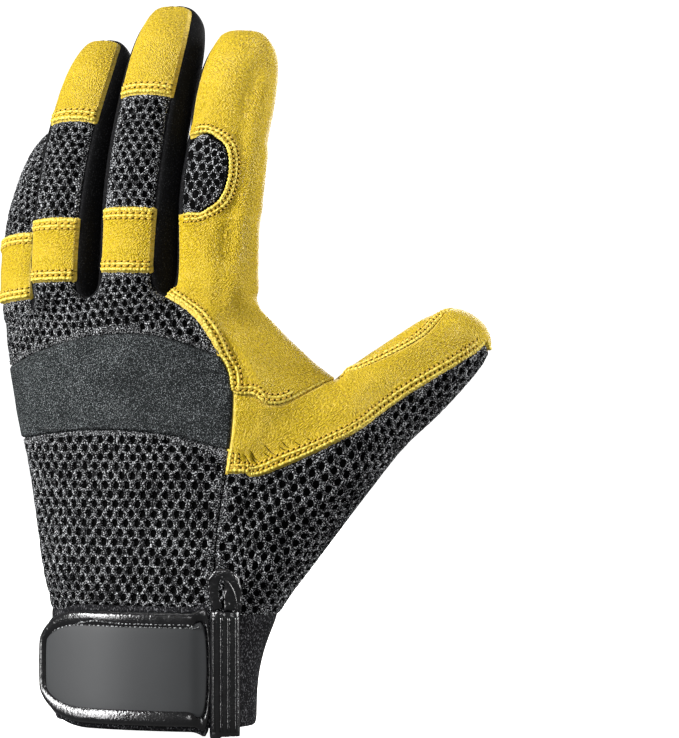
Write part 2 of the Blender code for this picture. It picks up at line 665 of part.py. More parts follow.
def collection():
    """The collection that holds the glove's pieces."""
    found = bpy.data.collections.get("work_glove")
    if found is None:
        found = bpy.data.collections.new("work_glove")
        bpy.context.scene.collection.children.link(found)
    return found


def finish(name):
    """The Principled material of that name."""
    found = bpy.data.materials.get(name)
    if found is None:
        colour, roughness = MATERIALS[name]
        found = bpy.data.materials.new(name)
        found.use_nodes = True
        shader = found.node_tree.nodes["Principled BSDF"]
        shader.inputs["Base Color"].default_value = (*colour, 1.0)
        shader.inputs["Roughness"].default_value = roughness
        shader.inputs["Metallic"].default_value = 0.0
    return found


def build_panels():
    surface = glove_cage()
    points, normals, faces, labels = smooth_surface(surface)
    crotches = np.array([surface.points[i] for i in surface.crotches])
    nearest = np.linalg.norm(points[:, None, :] - crotches[None, :, :], axis=2).min(axis=1)
    pinch = 1 - CROTCH_PINCH * np.exp(-((nearest / CROTCH_REACH) ** 2))
    for name, (material, rise, thickness) in PANELS.items():
        patch = [face for face, label in zip(faces, labels) if label == name]
        sheet_object(name, points, normals, patch, rise, thickness * pinch, material)


class StrapLine:
    """The strap's line round the cuff, seen from above: it clings to the cuff, then runs off it."""

    def __init__(self, lift):
        row = PalmRow(PALM_ROWS[1])
        xs = np.linspace(BINDING_WIDTH + STRAP_START + STRAP_LINE_SPARE, row.left * 0.985, 240)
        curve = np.array([row.point(x, -1, 0)[:2] for x in xs])
        tangent = np.gradient(curve, axis=0)
        tangent /= np.linalg.norm(tangent, axis=1)[:, None]
        outward = np.stack((-tangent[:, 1], tangent[:, 0]), axis=1) * -1
        outward *= np.sign(outward[0, 1]) * -1
        curve = curve + outward * lift
        start = np.interp(-STRAP_START, -curve[:, 0], np.arange(len(curve)))
        steps = np.linalg.norm(np.diff(curve, axis=0), axis=1)
        along = np.concatenate(([0.0], np.cumsum(steps)))
        self.along = along - np.interp(start, np.arange(len(curve)), along)
        self.curve = curve
        heading = np.arctan2(tangent[:, 1], tangent[:, 0])
        self.leave = np.array([np.interp(STRAP_CLING, self.along, curve[:, k]) for k in range(2)])
        self.heading = np.unwrap(heading)
        self.leave_heading = float(np.interp(STRAP_CLING, self.along, self.heading))

    def at(self, s):
        """Place and outward direction at distance s."""
        if s <= STRAP_CLING:
            place = np.array([np.interp(s, self.along, self.curve[:, k]) for k in range(2)])
            heading = float(np.interp(s, self.along, self.heading))
        else:
            heading, place, steps = self.leave_heading, self.leave.copy(), 24
            step = (s - STRAP_CLING) / steps
            for _ in range(steps):
                heading -= STRAP_END_CURVE * step
                place = place + np.array((math.cos(heading), math.sin(heading))) * step
        return place, np.array((-math.sin(heading), math.cos(heading)))

    def point(self, s, z, height):
        """The point at distance s, standing height off the line."""
        place, outward = self.at(s)
        x, y = place + outward * height
        return (x, y, z)


def strap_outline(inset, end_inset, start, steps=(12, 6, 4)):
    """The strap's outline, drawn in by inset: along the bottom, round the free end and back along the top."""
    bottom, top, end = STRAP_BOTTOM + inset, STRAP_TOP - inset, STRAP_LENGTH - end_inset
    along, up = STRAP_CORNER_LENGTH - end_inset, STRAP_CORNER_HEIGHT - inset
    straight, corner, upright = steps
    outline = [(blend(start, end - along, i / straight), bottom) for i in range(straight)]
    for i in range(corner + 1):
        angle = math.radians(90 * i / corner)
        outline.append((end - along + along * math.sin(angle), bottom + up - up * math.cos(angle)))
    for i in range(1, upright):
        outline.append((end, blend(bottom + up, top - up, i / upright)))
    for i in range(corner + 1):
        angle = math.radians(90 * i / corner)
        outline.append((end - along + along * math.cos(angle), top - up + up * math.sin(angle)))
    outline += [(blend(end - along, start, (i + 1) / straight), top) for i in range(straight)]
    return outline


def strap_slab(name, line, inset, end_inset, start, low, high, material, bevel=STRAP_BEVEL):
    """A flat layer of the strap: columns from its bottom edge to its top edge, set along the line."""
    outline = strap_outline(inset, end_inset, start)
    half = len(outline) // 2
    rings = []
    for i in range(half + 1 - len(outline) % 2):
        (s, z_low), (_, z_high) = outline[i], outline[-1 - i]
        if rings and abs(s - last) < 1e-7:
            continue
        last = s
        corners = (
            (z_low + bevel, low), (z_high - bevel, low), (z_high, low + bevel), (z_high, high - bevel),
            (z_high - bevel, high), (z_low + bevel, high), (z_low, high - bevel), (z_low, low + bevel),
        )
        rings.append([line.point(s, z, height) for z, height in corners])
    return lofted(name, rings, material)


def build_strap():
    """The wrist strap: backing, hook tape, piped border and the plate inside it."""
    line = StrapLine(STRAP_LIFT)
    strap_slab("strap", line, 0.0, 0.0, 0.0, 0.0, STRAP_THICKNESS, "elastic")
    strap_slab(
        "hook_tape", line, HOOK_TAPE_MARGIN, HOOK_TAPE_MARGIN / 2, HOOK_TAPE_START,
        -LAYER_GAP - HOOK_TAPE_THICKNESS, -LAYER_GAP, "hook", bevel=HOOK_TAPE_BEVEL,
    )
    base = STRAP_THICKNESS + LAYER_GAP
    widths = [width + LAYER_GAP for width in (BORDER_WIDTH, BORDER_END_WIDTH, BORDER_INNER_START)]
    strap_slab("strap_plate", line, *widths, base, base + PLATE_THICKNESS, "rubber")
    outer = strap_outline(0.0, 0.0, BORDER_OUTER_START)
    inner = strap_outline(BORDER_WIDTH, BORDER_END_WIDTH, BORDER_INNER_START)
    profile = ((0.03, 0.0), (0.0, 0.35), (0.14, 0.85), (0.40, 1.0), (0.75, 0.85), (1.0, 0.45), (0.98, 0.0))
    rings = []
    for (s_out, z_out), (s_in, z_in) in zip(outer, inner):
        rings.append([
            line.point(blend(s_out, s_in, across), blend(z_out, z_in, across), base + rise * BORDER_THICKNESS)
            for across, rise in profile
        ])
    lofted("strap_border", rings, "trim", closed=True)


def build_binding():
    """The bound slit beside the strap: an upright tape with ridges, and the pull loop that stands on it."""
    low, high = StrapLine(BINDING_LOW_LIFT), StrapLine(BINDING_HIGH_LIFT)
    steps = 4 * BINDING_RIDGES
    section = [(1.0, 0.0), (0.0, 0.0)]
    for i in range(steps + 1):
        share = i / steps
        ridges = 0.10 * abs(math.sin(BINDING_RIDGES * math.pi * share))
        section.append((share, 0.65 + 0.25 * math.sqrt(max(0.0, math.sin(math.pi * share))) + ridges))
    rings = []
    for share in (0.0, 0.03, 0.35, 0.68, 0.97, 1.0):
        z = blend(BINDING_BOTTOM, BINDING_TOP, share)
        shrink = 0.8 if share in (0.0, 1.0) else 1.0
        ring = []
        for across, swell in section:
            place = [-LAYER_GAP - across * BINDING_WIDTH, z, swell * BINDING_THICKNESS * shrink]
            ring.append(blend(np.array(low.point(*place)), np.array(high.point(*place)), share))
        rings.append(ring)
    lofted("slit_binding", rings, "trim", sharp=50)

    line = StrapLine(0.0)
    stations = [dict(zip(LOOP_COLUMNS, values)) for values in LOOP_STATIONS]
    middle = [
        np.array((-LAYER_GAP - station["across"] * BINDING_WIDTH, BINDING_TOP + LAYER_GAP + station["above"]))
        for station in stations
    ]
    rings = []
    for i, (station, centre) in enumerate(zip(stations, middle)):
        along = unit(middle[min(i + 1, len(middle) - 1)] - middle[max(i - 1, 0)])
        sideways = np.array((along[1], -along[0]))
        ring = []
        for k in range(10):
            angle = math.radians(36 * k + 18)
            place = centre + sideways * (station["band"] / 2 * math.cos(angle))
            reach = 0.5 * math.copysign(abs(math.sin(angle)) ** 0.6, math.sin(angle))
            ring.append(line.point(place[0], place[1], station["out"] + reach * LOOP_THICKNESS))
        rings.append(ring)
    lofted("pull_loop", rings, "trim", sharp=60)


def main():
    for old in list(bpy.data.objects):
        bpy.data.objects.remove(old)
    build_panels()
    build_strap()
    build_binding()


main()
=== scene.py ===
"""Looks of the leather work glove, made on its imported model.

Every panel of the model is a closed sheet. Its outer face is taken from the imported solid, smoothed, and laid
out flat as the leather or cloth was cut. Seams, stitches, mesh holes and grain are placed on that flat cut,
in millimetres, and carried back to the glove.
"""

import math

import bmesh
import bpy
import numpy as np
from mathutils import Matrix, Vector
from mathutils.bvhtree import BVHTree
from mathutils.kdtree import KDTree


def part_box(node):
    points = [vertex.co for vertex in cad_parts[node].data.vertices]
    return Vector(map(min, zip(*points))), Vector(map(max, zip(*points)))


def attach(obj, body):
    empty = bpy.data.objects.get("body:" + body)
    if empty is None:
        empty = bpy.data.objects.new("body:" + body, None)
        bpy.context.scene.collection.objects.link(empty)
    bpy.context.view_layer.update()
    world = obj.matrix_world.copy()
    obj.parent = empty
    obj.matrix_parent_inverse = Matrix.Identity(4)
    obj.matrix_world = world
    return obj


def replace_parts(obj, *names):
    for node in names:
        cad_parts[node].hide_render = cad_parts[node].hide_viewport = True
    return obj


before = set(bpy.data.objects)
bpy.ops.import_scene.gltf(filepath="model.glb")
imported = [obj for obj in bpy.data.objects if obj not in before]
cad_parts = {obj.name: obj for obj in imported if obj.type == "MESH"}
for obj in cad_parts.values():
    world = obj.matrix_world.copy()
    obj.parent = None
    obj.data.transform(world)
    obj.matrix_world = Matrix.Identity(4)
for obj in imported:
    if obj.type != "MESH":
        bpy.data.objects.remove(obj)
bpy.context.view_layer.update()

MM = 0.001

# The glove's own sizes below are in millimetres. The camera, the lamps, the floor and WELD are in metres.

# Camera at the photograph's place: level with the knuckles, looking along +Y
CAMERA_PLACE = (0.061167, -1.0, 0.1163)
CAMERA_LENS = 146.3
SENSOR = 36.0

# Height of the floor, and how far the floor and the white surround reach, in metres
FLOOR = -0.0045
SURROUND = 4.0

# Light: the world's strength, where the lamps aim, and each lamp's name, place, two sizes and power
WORLD = 0.15
AIM = (0.0, 0.0, 0.12)
LAMPS = (
    ("key", (-1.05, -0.5, 0.62), (0.35, 0.6), 22.0),
    ("rim", (1.1, 0.05, 0.35), (0.3, 0.7), 13.0),
    ("sheen", (-1.15, -0.66, 0.10), (0.35, 0.5), 7.5),
    ("front", (0.1, -1.3, 0.6), (0.5, 0.3), 4.2),
    ("back", (0.35, 1.3, 0.5), (0.8, 0.8), 11.0),
    ("top", (0.0, 0.2, 1.1), (0.8, 0.5), 3.0),
)

# Taking a sheet's outer face from its solid
WELD = 1e-6
NEIGHBOURS = 12
BEHIND = -0.35
QUAD_FOLD = 80.0
FIT_ROUNDS = 8
ROUNDED_FIT_ROUNDS = 2

# Measuring a sheet's wall with rays
WALL_PROBES = 9
WALL_SKIP = 0.01

# A sheet's hidden edge under its neighbours: its reach, and its top and bottom as shares of the sheet
FLANGE = 0.9
FLANGE_TOP = 0.68
FLANGE_BOTTOM = 0.97

# Naming what lies beside a border
NEAREST_OWNERS = 40
CUFF_JOIN = 0.8

# Distances from a border: places measured at once, and the distance where there is none
CHUNK = 4000
FAR = 1e3

# Panels: the maker that dresses them and their material, then how often each one's face is divided
PANELS = {
    ("leather", "leather"): {
        "palm_leather": 2, "index_leather": 3, "thumb_back_leather": 3, "thumb_palm_leather": 2,
        "little_knuckle_patch": 4, "ring_knuckle_patch": 4, "middle_knuckle_patch": 4, "ring_tip_cap": 4,
        "middle_tip_cap": 4,
    },
    ("net", "yarn"): {
        "thumb_mesh": 2, "back_mesh": 2, "knuckle_mesh": 2, "little_finger_mesh": 2, "ring_finger_mesh": 2,
        "middle_finger_mesh": 2, "index_finger_mesh": 2,
    },
    ("cloth", "neoprene"): {"knuckle_band": 3},
    ("cloth", "spandex"): {
        "side_panel": 3, "little_ring_fourchette": 2, "ring_middle_fourchette": 2,
        "middle_index_fourchette": 2,
    },
}

# Stitched borders: the panel, what lies beside it, the rows' distances from the border, a stitch's length,
# how far the doubled edge stands up, and the largest X where it is sewn. All such sizes are in millimetres.
SEAM_COLUMNS = ("panel", "beside", "rows", "stitch", "raised", "reach")
EVERYWHERE = 200
SEAMS = (
    *(
        (f"{finger}_tip_cap", (f"{finger}_finger_mesh",), (1.7, 3.6), 2.2, 0.45, EVERYWHERE)
        for finger in ("ring", "middle")
    ),
    *(
        (f"{finger}_knuckle_patch", (beside,), (1.5, 3.2), 2.2, 0.50, EVERYWHERE)
        for finger in ("little", "ring", "middle")
        for beside in (f"{finger}_finger_mesh", "knuckle_mesh")
    ),
    ("index_leather", ("index_finger_mesh",), (1.4, 3.3), 1.5, 0.45, EVERYWHERE),
    ("index_leather", ("knuckle_mesh", "knuckle_band"), (1.3, 3.2), 1.8, 0.50, EVERYWHERE),
    ("index_leather", ("thumb_back_leather",), (1.3, 3.2), 1.8, 0.50, 46),
    ("thumb_back_leather", ("thumb_mesh", "back_mesh"), (1.3, 3.1), 1.8, 0.40, 107),
    ("thumb_palm_leather", ("thumb_back_leather",), (1.3, 3.1), 1.8, 0.45, 100),
)

# Lines beside a border: how often they are smoothed, and how far they stay off its ends
LINE_ROUNDS = 3
LINE_CLEAR = 0.5

# Stitches: gaps, half girth, heights and form of the threads
STITCH_GAP = 0.62
THREAD = 0.34
THREAD_ARCH = 0.16
THREAD_REST = 0.02
THREAD_TAPER = 0.45
THREAD_POINTS = 5
FLATTENED = 0.8

# Needle holes, drawn as dark discs of painted shade, whose length and width are halves
HOLE_LENGTH = 0.50
HOLE_WIDTH = 0.30
HOLE_SLANT = 28.0
HOLE_CORNERS = 8
HOLE_HEIGHT = 0.05

# Relief of turned edges and of seams
ROLL = 0.7
CLOTH_ROLL = 0.6
ROLL_SHARE = 0.9
SEAM_SLOPE = 1.6
ROW_DEPTH = 0.36
ROW_WIDTH = 0.42
PUCKER = 0.09
SEAM_FADE = 6.0

# Unevenness: the waves' height, size and seed, and how far from the border they start and are whole
LEATHER_WAVES = ((0.16, 17.0, 3, (0.5, 5.0)), (0.03, 4.5, 5, (0.3, 2.0)))
CLOTH_WAVES = ((0.12, 14.0, 9, (0.5, 4.0)),)
WAVE_OCTAVES = 2
WAVES = 6

# The lumpy turned edge of cut leather, and the ridge between two rows of stitches
RIM_INSET = 0.35
RIM_GIRTH = 0.55
RIDGE_GIRTH = 0.42
RIM_LUMP = 1.25
RIM_LUMP_DEPTH = 0.28
RIM_DRIFT = 1.5
RIM_DRIFT_LENGTH = 2.3
RIM_HEIGHT = -0.12
RIM_END = 0.4
RIM_STEP = 0.3
ROUND_CORNERS = 8

# A dark tube of painted shade in the gap where leather lies on leather
GAP_INSET = -0.10
GAP_GIRTH = 0.34
GAP_HEIGHT = -0.28
GAP_STEP = 0.6

# Soft valleys: panel, depth, half width, and X and Z of the line's points
VALLEYS = (
    ("index_leather", 1.25, 3.0, ((34, 216), (30.5, 204), (28.5, 192), (28, 179), (25.5, 168), (24, 153))),
    ("index_leather", 0.60, 2.6, ((24, 153), (22, 139), (24, 129), (28.5, 115))),
    ("thumb_back_leather", 0.45, 3.4, ((34, 98), (52, 104), (72, 117), (90, 126))),
)

# Y of the normal where a valley is gone and where it is whole
VALLEY_FACING = (0.2, -0.3)

# Short creases above the stitches of the thumb's back: X of each crease's foot, its length and its depth
CREASES = (
    (29.0, 2.6, 0.16), (32.5, 6.5, 0.34), (35.0, 4.0, 0.24), (37.5, 7.5, 0.36), (40.0, 3.4, 0.22),
    (42.0, 6.8, 0.32), (44.5, 3.0, 0.20), (46.5, 5.6, 0.30), (50.0, 3.2, 0.18), (54.0, 2.8, 0.14),
)

# Place and form of the creases
CREASE_FOOT = 3.5
CREASE_LEAN = 28.0
CREASE_HALF_WIDTH = 0.70
CREASE_GAIN = 1.7
CREASE_WAVE = 0.25
CREASE_START = (-0.6, 0.4)

# The dark line in a crease
SHADE_GIRTH = 0.16
SHADE_HEIGHT = -0.02
SHADE_PART = 0.8
SHADE_POINTS = 8
SHADE_ENDS = (0.12, 0.95)

# Where the middle and the index finger press on each other, with four Z between which it fades
SWELL_X = 8.0
SWELL_WIDTH = 4.0
SWELL_Z = (134.0, 142.0, 178.0, 190.0)
SWELL = 0.9

# Nets: the holes' pitch across and from row to row, and a hole's half width and half height
HAND_NETS = ("back_mesh", "thumb_mesh")
HAND_NET = (3.9, 3.05, 1.05, 1.38)
FINGER_NET = (3.5, 2.7, 0.93, 1.20)

# How deep a net's backing lies, and how near to the border a hole may be
NET_DEPTH = 0.75
NET_MARGIN = 1.7

# Rings from a cell's border to its hole: share of the way, and height. A closed cell keeps the first.
NET_RINGS = ((0.0, 0.06), (0.38, 0.12), (0.74, 0.04), (1.0, -0.22), (1.06, -NET_DEPTH - 0.1))
KEPT_RINGS = 3
FILL_SHARE = 0.5
FILL_HEIGHT = 0.06

# Unevenness of a net, and how close its joined points are
NET_STRAY = 0.05
NET_SEED = 7
NET_WAVES = (0.09, 1.0, 11)
NET_SINK = 0.45
NET_SINK_REACH = 0.9
NET_WELD = 0.02
NET_SLIVER = 0.01

# Pale loops in the seams of the nets and the band, with their sway in radians
LOOP_ROWS = (0.55, 1.35)
LOOP_SPACING = 1.35
LOOP_HALF = 0.42
LOOP_GIRTH = 0.20
LOOP_HEIGHT = 0.2
LOOP_SWAY = 0.9
LOOP_TURN = 2.4
LOOP_ANGLE = 0.5


def unit(vectors):
    return vectors / np.maximum(np.linalg.norm(vectors, axis=-1, keepdims=True), 1e-12)


def smoothstep(low, high, value):
    share = np.clip((value - low) / (high - low), 0, 1)
    return share * share * (3 - 2 * share)


def across(a, b):
    """The cross product of flat directions, row by row."""
    return a[:, 0] * b[:, 1] - a[:, 1] * b[:, 0]


def left_of(ways):
    """Flat directions turned left by a quarter."""
    return np.stack((-ways[..., 1], ways[..., 0]), axis=-1)


def turned(way, angle):
    """A flat direction turned left by an angle in radians."""
    return way * math.cos(angle) + left_of(way) * math.sin(angle)


def lengths(line):
    """How far each point of a line lies along it."""
    return np.concatenate(([0.0], np.cumsum(np.linalg.norm(np.diff(line, axis=0), axis=1))))


def places_at(line, length, at):
    """Places at distances along a line whose points lie at the lengths."""
    return np.stack([np.interp(at, length, line[:, k]) for k in range(line.shape[1])], axis=1)


def to_stretches(places, starts, steps):
    """Distance of flat places from the nearest of some stretches, which one it is, and where on it."""
    away = places[:, None, :] - starts[None]
    share = np.clip((away * steps).sum(axis=2) / np.maximum((steps**2).sum(axis=1), 1e-12), 0, 1)
    gap = np.linalg.norm(away - share[..., None] * steps, axis=2)
    nearest = gap.argmin(axis=1)
    rows = np.arange(len(places))
    return gap[rows, nearest], nearest, share[rows, nearest]


def outward(ring, normals):
    """Directions that lead out of a patch, along its border."""
    along = unit(np.roll(ring, -1, axis=0) - np.roll(ring, 1, axis=0))
    return unit(np.cross(along, normals))


def solid_mesh(node):
    """A solid's mesh with its double points joined."""
    bm = bmesh.new()
    bm.from_mesh(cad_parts[node].data)
    bmesh.ops.remove_doubles(bm, verts=bm.verts, dist=WELD)
    return bm


def as_quads(bm, name):
    """A mesh of these faces, with its triangles joined to quads."""
    bmesh.ops.join_triangles(
        bm, faces=bm.faces[:], angle_face_threshold=math.radians(QUAD_FOLD), angle_shape_threshold=math.pi,
        topology_influence=1.0,
    )
    mesh = bpy.data.meshes.new(name)
    bm.to_mesh(mesh)
    bm.free()
    return mesh


def solid_tree(node):
    """A tree of a node's faces, to find places on it."""
    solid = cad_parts[node].data
    faces = [face.vertices for face in solid.polygons]
    return BVHTree.FromPolygons([vert.co for vert in solid.vertices], faces)


def rim_faces(bm):
    """The faces of a sheet's rim, between its outer and its inner face.

    A point's partner is the nearest point behind it. An edge that joins partners crosses the rim."""
    bm.normal_update()
    bm.verts.index_update()
    tree = KDTree(len(bm.verts))
    for vert in bm.verts:
        tree.insert(vert.co, vert.index)
    tree.balance()
    behind = {}
    for vert in bm.verts:
        for place, index, _ in tree.find_n(vert.co, NEIGHBOURS)[1:]:
            if (place - vert.co).normalized().dot(vert.normal) < BEHIND:
                behind[vert.index] = index
                break
    ends = {edge: (edge.verts[0].index, edge.verts[1].index) for edge in bm.edges}
    rungs = {edge for edge, (a, b) in ends.items() if behind.get(a) == b and behind.get(b) == a}
    used = {vert for edge in rungs for vert in edge.verts}
    for edge, (a, b) in ends.items():
        one_way = behind.get(a) == b or behind.get(b) == a
        around = {vert for face in edge.link_faces for vert in face.verts} - set(edge.verts)
        if one_way and not used.intersection(edge.verts) and around <= used:
            rungs.add(edge)
    return {face for face in bm.faces if any(edge in rungs for edge in face.edges)}


def outer_face(node):
    """A mesh of quads with the outer face of a sheet's solid."""
    bm = solid_mesh(node)
    seen = rim_faces(bm)
    sides = []
    for start in bm.faces:
        if start in seen:
            continue
        side, waiting = [], [start]
        seen.add(start)
        while waiting:
            face = waiting.pop()
            side.append(face)
            for edge in face.edges:
                for other in edge.link_faces:
                    if other not in seen:
                        seen.add(other)
                        waiting.append(other)
        sides.append(side)
    outer = set(max(sides, key=lambda side: sum(face.calc_area() for face in side)))
    bmesh.ops.delete(bm, geom=[face for face in bm.faces if face not in outer], context="FACES")
    return as_quads(bm, f"{node}_face")


def unwrap(obj):
    """Lays the mesh out flat in a UV map."""
    obj.data.uv_layers.new(name="flat")
    for other in bpy.context.selected_objects:
        other.select_set(False)
    bpy.context.view_layer.objects.active = obj
    obj.select_set(True)
    bpy.ops.object.mode_set(mode="EDIT")
    bpy.ops.mesh.select_all(action="SELECT")
    bpy.ops.uv.unwrap(method="ANGLE_BASED", margin=0.0)
    bpy.ops.object.mode_set(mode="OBJECT")


def smoothed(mesh, levels, laid_flat, fit_rounds=FIT_ROUNDS):
    """Points, faces and, where asked, flat places of a subdivided mesh, fitted to its own points."""
    obj = bpy.data.objects.new(mesh.name, mesh)
    bpy.context.scene.collection.objects.link(obj)
    if laid_flat:
        unwrap(obj)
    subdivision = obj.modifiers.new("smooth", "SUBSURF")
    subdivision.levels = subdivision.render_levels = levels
    subdivision.boundary_smooth = "PRESERVE_CORNERS"
    target = np.array([vert.co for vert in mesh.vertices])
    fitted = target.copy()
    graph = bpy.context.evaluated_depsgraph_get()
    for _ in range(fit_rounds):
        mesh.vertices.foreach_set("co", fitted.ravel())
        mesh.update()
        graph.update()
        made = obj.evaluated_get(graph).to_mesh()
        points = np.array([vert.co for vert in made.vertices])
        fitted += target - points[: len(target)]
    faces = [tuple(face.vertices) for face in made.polygons]
    flat = np.zeros((len(points), 2))
    if laid_flat:
        corners = np.empty(len(made.loops) * 2)
        made.uv_layers["flat"].uv.foreach_get("vector", corners)
        for loop, place in zip(made.loops, corners.reshape(-1, 2)):
            flat[loop.vertex_index] = place
    obj.evaluated_get(graph).to_mesh_clear()
    bpy.data.objects.remove(obj)
    bpy.data.meshes.remove(mesh)
    return points, faces, flat


def in_threes(faces):
    """The faces as triangles."""
    return np.array([(face[0], face[i], face[i + 1]) for face in faces for i in range(1, len(face) - 1)])


def point_normals(points, triangles):
    corner = points[triangles]
    across = np.cross(corner[:, 1] - corner[:, 0], corner[:, 2] - corner[:, 0])
    normals = np.zeros_like(points)
    for k in range(3):
        np.add.at(normals, triangles[:, k], across)
    return unit(normals)


def border_loops(faces):
    """The open edges of a patch, as loops of points that run with the patch on their left."""
    edges = {(face[i], face[(i + 1) % len(face)]) for face in faces for i in range(len(face))}
    after = {a: b for a, b in edges if (b, a) not in edges}
    loops = []
    while after:
        start, loop = next(iter(after)), []
        at = start
        while at in after:
            loop.append(at)
            at = after.pop(at)
        loops.append(loop)
    return loops


class Panel:
    """A panel's smoothed outer face, with a flat cut in millimetres whose +V runs towards the fingertips."""

    def __init__(self, name, kind, look, levels):
        self.name, self.kind, self.look = name, kind, look
        self.points, self.faces, flat = smoothed(outer_face(name), levels, True)
        self.triangles = in_threes(self.faces)
        self.normals = point_normals(self.points, self.triangles)
        self.flat = self.to_scale(flat)
        self.loop = np.array(max(border_loops(self.faces), key=len))
        self.thickness = self.wall()
        self.surface = self.points.copy()

    def to_scale(self, flat):
        """The flat cut at the panel's own area, turned so that height grows with V."""
        solid, cut = self.points[self.triangles], flat[self.triangles]
        area = np.linalg.norm(np.cross(solid[:, 1] - solid[:, 0], solid[:, 2] - solid[:, 0]), axis=1).sum()
        flat_area = abs(across(cut[:, 1] - cut[:, 0], cut[:, 2] - cut[:, 0]).sum())
        flat = (flat - flat.mean(axis=0)) * math.sqrt(area / flat_area) / MM
        slope = np.linalg.lstsq(np.c_[flat, np.ones(len(flat))], self.points[:, 2], rcond=None)[0][:2]
        up = slope / np.linalg.norm(slope)
        return np.stack((flat @ np.array((up[1], -up[0])), flat @ up), axis=1)

    def wall(self):
        """The sheet's thickness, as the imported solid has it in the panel's middle."""
        tree = solid_tree(self.name)
        innermost = np.argsort(-self.from_border(self.flat)[0])[:WALL_PROBES]
        depths = []
        for i in innermost:
            normal = Vector(self.normals[i])
            outer = tree.ray_cast(Vector(self.points[i]) + normal * MM, -normal)[0]
            inner = tree.ray_cast(outer - normal * WALL_SKIP * MM, -normal)
            depths.append(inner[3])
        return float(np.median(depths))

    def border(self):
        """The border's flat places, once round."""
        return self.flat[self.loop]

    def from_border(self, places, wanted=None):
        """Distance of flat places from the border, or its wanted stretches, and their place along it."""
        start = self.border()
        step = np.roll(start, -1, axis=0) - start
        length = np.linalg.norm(step, axis=1)
        along = np.concatenate(([0.0], np.cumsum(length)))[:-1]
        if wanted is not None:
            if not wanted.any():
                return np.full(len(places), FAR), np.zeros(len(places))
            start, step, length, along = start[wanted], step[wanted], length[wanted], along[wanted]
        distance, position = np.empty(len(places)), np.empty(len(places))
        for first in range(0, len(places), CHUNK):
            here = slice(first, first + CHUNK)
            distance[here], nearest, share = to_stretches(places[here], start, step)
            position[here] = along[nearest] + share * length[nearest]
        return distance, position

    def carry(self, places, heights):
        """Points on the glove for flat places, standing heights in millimetres off the panel's surface."""
        if not hasattr(self, "flat_tree"):
            corners = [(x, y, 0.0) for x, y in self.flat]
            self.flat_tree = BVHTree.FromPolygons(corners, self.triangles.tolist())
            self.surface_normals = point_normals(self.surface, self.triangles)
        found = [self.flat_tree.find_nearest((x, y, 0.0)) for x, y in places]
        place = np.array([hit[0] for hit in found])[:, :2]
        corners = self.triangles[[hit[2] for hit in found]]
        a, b, c = (self.flat[corners[:, k]] for k in range(3))
        area = across(b - a, c - a)
        beta, gamma = across(place - a, c - a) / area, across(b - a, place - a) / area
        shares = (1 - beta - gamma, beta, gamma)
        made, normals = (
            sum(share[:, None] * values[corners[:, k]] for k, share in enumerate(shares))
            for values in (self.surface, self.surface_normals)
        )
        normals = unit(normals)
        return made + normals * np.asarray(heights)[:, None] * MM, normals


def name_neighbours(panels):
    """Sets, for every border edge of every panel, the name of the panel that lies beside it."""
    owners = []
    for panel in panels.values():
        owners += [(panel.name, place) for place in panel.points[panel.loop]]
    _, cuff_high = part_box("cuff")
    tree = KDTree(len(owners))
    for index, (_, place) in enumerate(owners):
        tree.insert(place, index)
    tree.balance()
    for panel in panels.values():
        ring = panel.points[panel.loop]
        middles = (ring + np.roll(ring, -1, axis=0)) / 2
        panel.beside = []
        for middle in middles:
            names = (owners[index][0] for _, index, _ in tree.find_n(middle, NEAREST_OWNERS))
            near = next((name for name in names if name != panel.name), "none")
            panel.beside.append("cuff" if middle[2] < cuff_high[2] + CUFF_JOIN * MM else near)
        panel.beside = np.array(panel.beside)


def mesh_object(name, points, faces, material, attributes=(), flat=None):
    """A shown piece that rides on the glove's one body."""
    mesh = bpy.data.meshes.new(name)
    mesh.from_pydata([tuple(point) for point in points], [], [tuple(int(i) for i in face) for face in faces])
    if flat is not None:
        layer = mesh.uv_layers.new(name="flat")
        index = np.empty(len(mesh.loops), int)
        mesh.loops.foreach_get("vertex_index", index)
        layer.uv.foreach_set("vector", np.ascontiguousarray(flat[index], dtype=np.float32).ravel())
    for key, values in attributes:
        layer = mesh.attributes.new(key, "FLOAT", "POINT")
        layer.data.foreach_set("value", np.asarray(values, np.float32))
    mesh.shade_smooth()
    mesh.materials.append(material)
    obj = bpy.data.objects.new(name, mesh)
    bpy.context.scene.collection.objects.link(obj)
    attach(obj, "root")
    return obj


def sheet(panel, suffix, outer_heights, material):
    """A closed sheet in place of a panel: its outer face moved by the heights, its inner one a wall below.

    A hidden flange runs round its border, under the neighbouring panels."""
    count, loop = len(panel.points), panel.loop
    outer = panel.points + panel.normals * outer_heights[:, None] * MM
    inner = panel.points - panel.normals * panel.thickness
    ring, normals = panel.points[loop], panel.normals[loop]
    reach = outward(ring, normals) * FLANGE * MM
    flange = [ring + out - normals * panel.thickness * depth for out, depth in (
        (0 * reach, FLANGE_TOP), (reach, FLANGE_TOP), (reach, FLANGE_BOTTOM),
    )]
    faces = [tuple(face) for face in panel.faces]
    faces += [tuple(i + count for i in reversed(face)) for face in panel.faces]
    layers = len(flange)
    rings = [loop, *(2 * count + k * len(loop) + np.arange(len(loop)) for k in range(layers)), loop + count]
    for upper, lower in zip(rings, rings[1:]):
        faces += zip(np.roll(upper, -1), upper, lower, np.roll(lower, -1))
    edge, _ = panel.from_border(panel.flat)
    points = np.concatenate((outer, inner, *flange))
    edges = np.concatenate((edge, edge, np.zeros(layers * len(loop))))
    flat = np.concatenate((panel.flat, panel.flat, *[panel.flat[loop]] * layers))
    made = mesh_object(f"{panel.name}_{suffix}", points, faces, material, (("edge", edges),), flat)
    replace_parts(made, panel.name)


def rows_of(panel):
    """The stitched stretches of a panel: which border edges, and the seam there."""
    seams = [dict(zip(SEAM_COLUMNS, values)) for values in SEAMS]
    return [(np.isin(panel.beside, seam["beside"]), seam) for seam in seams if seam["panel"] == panel.name]


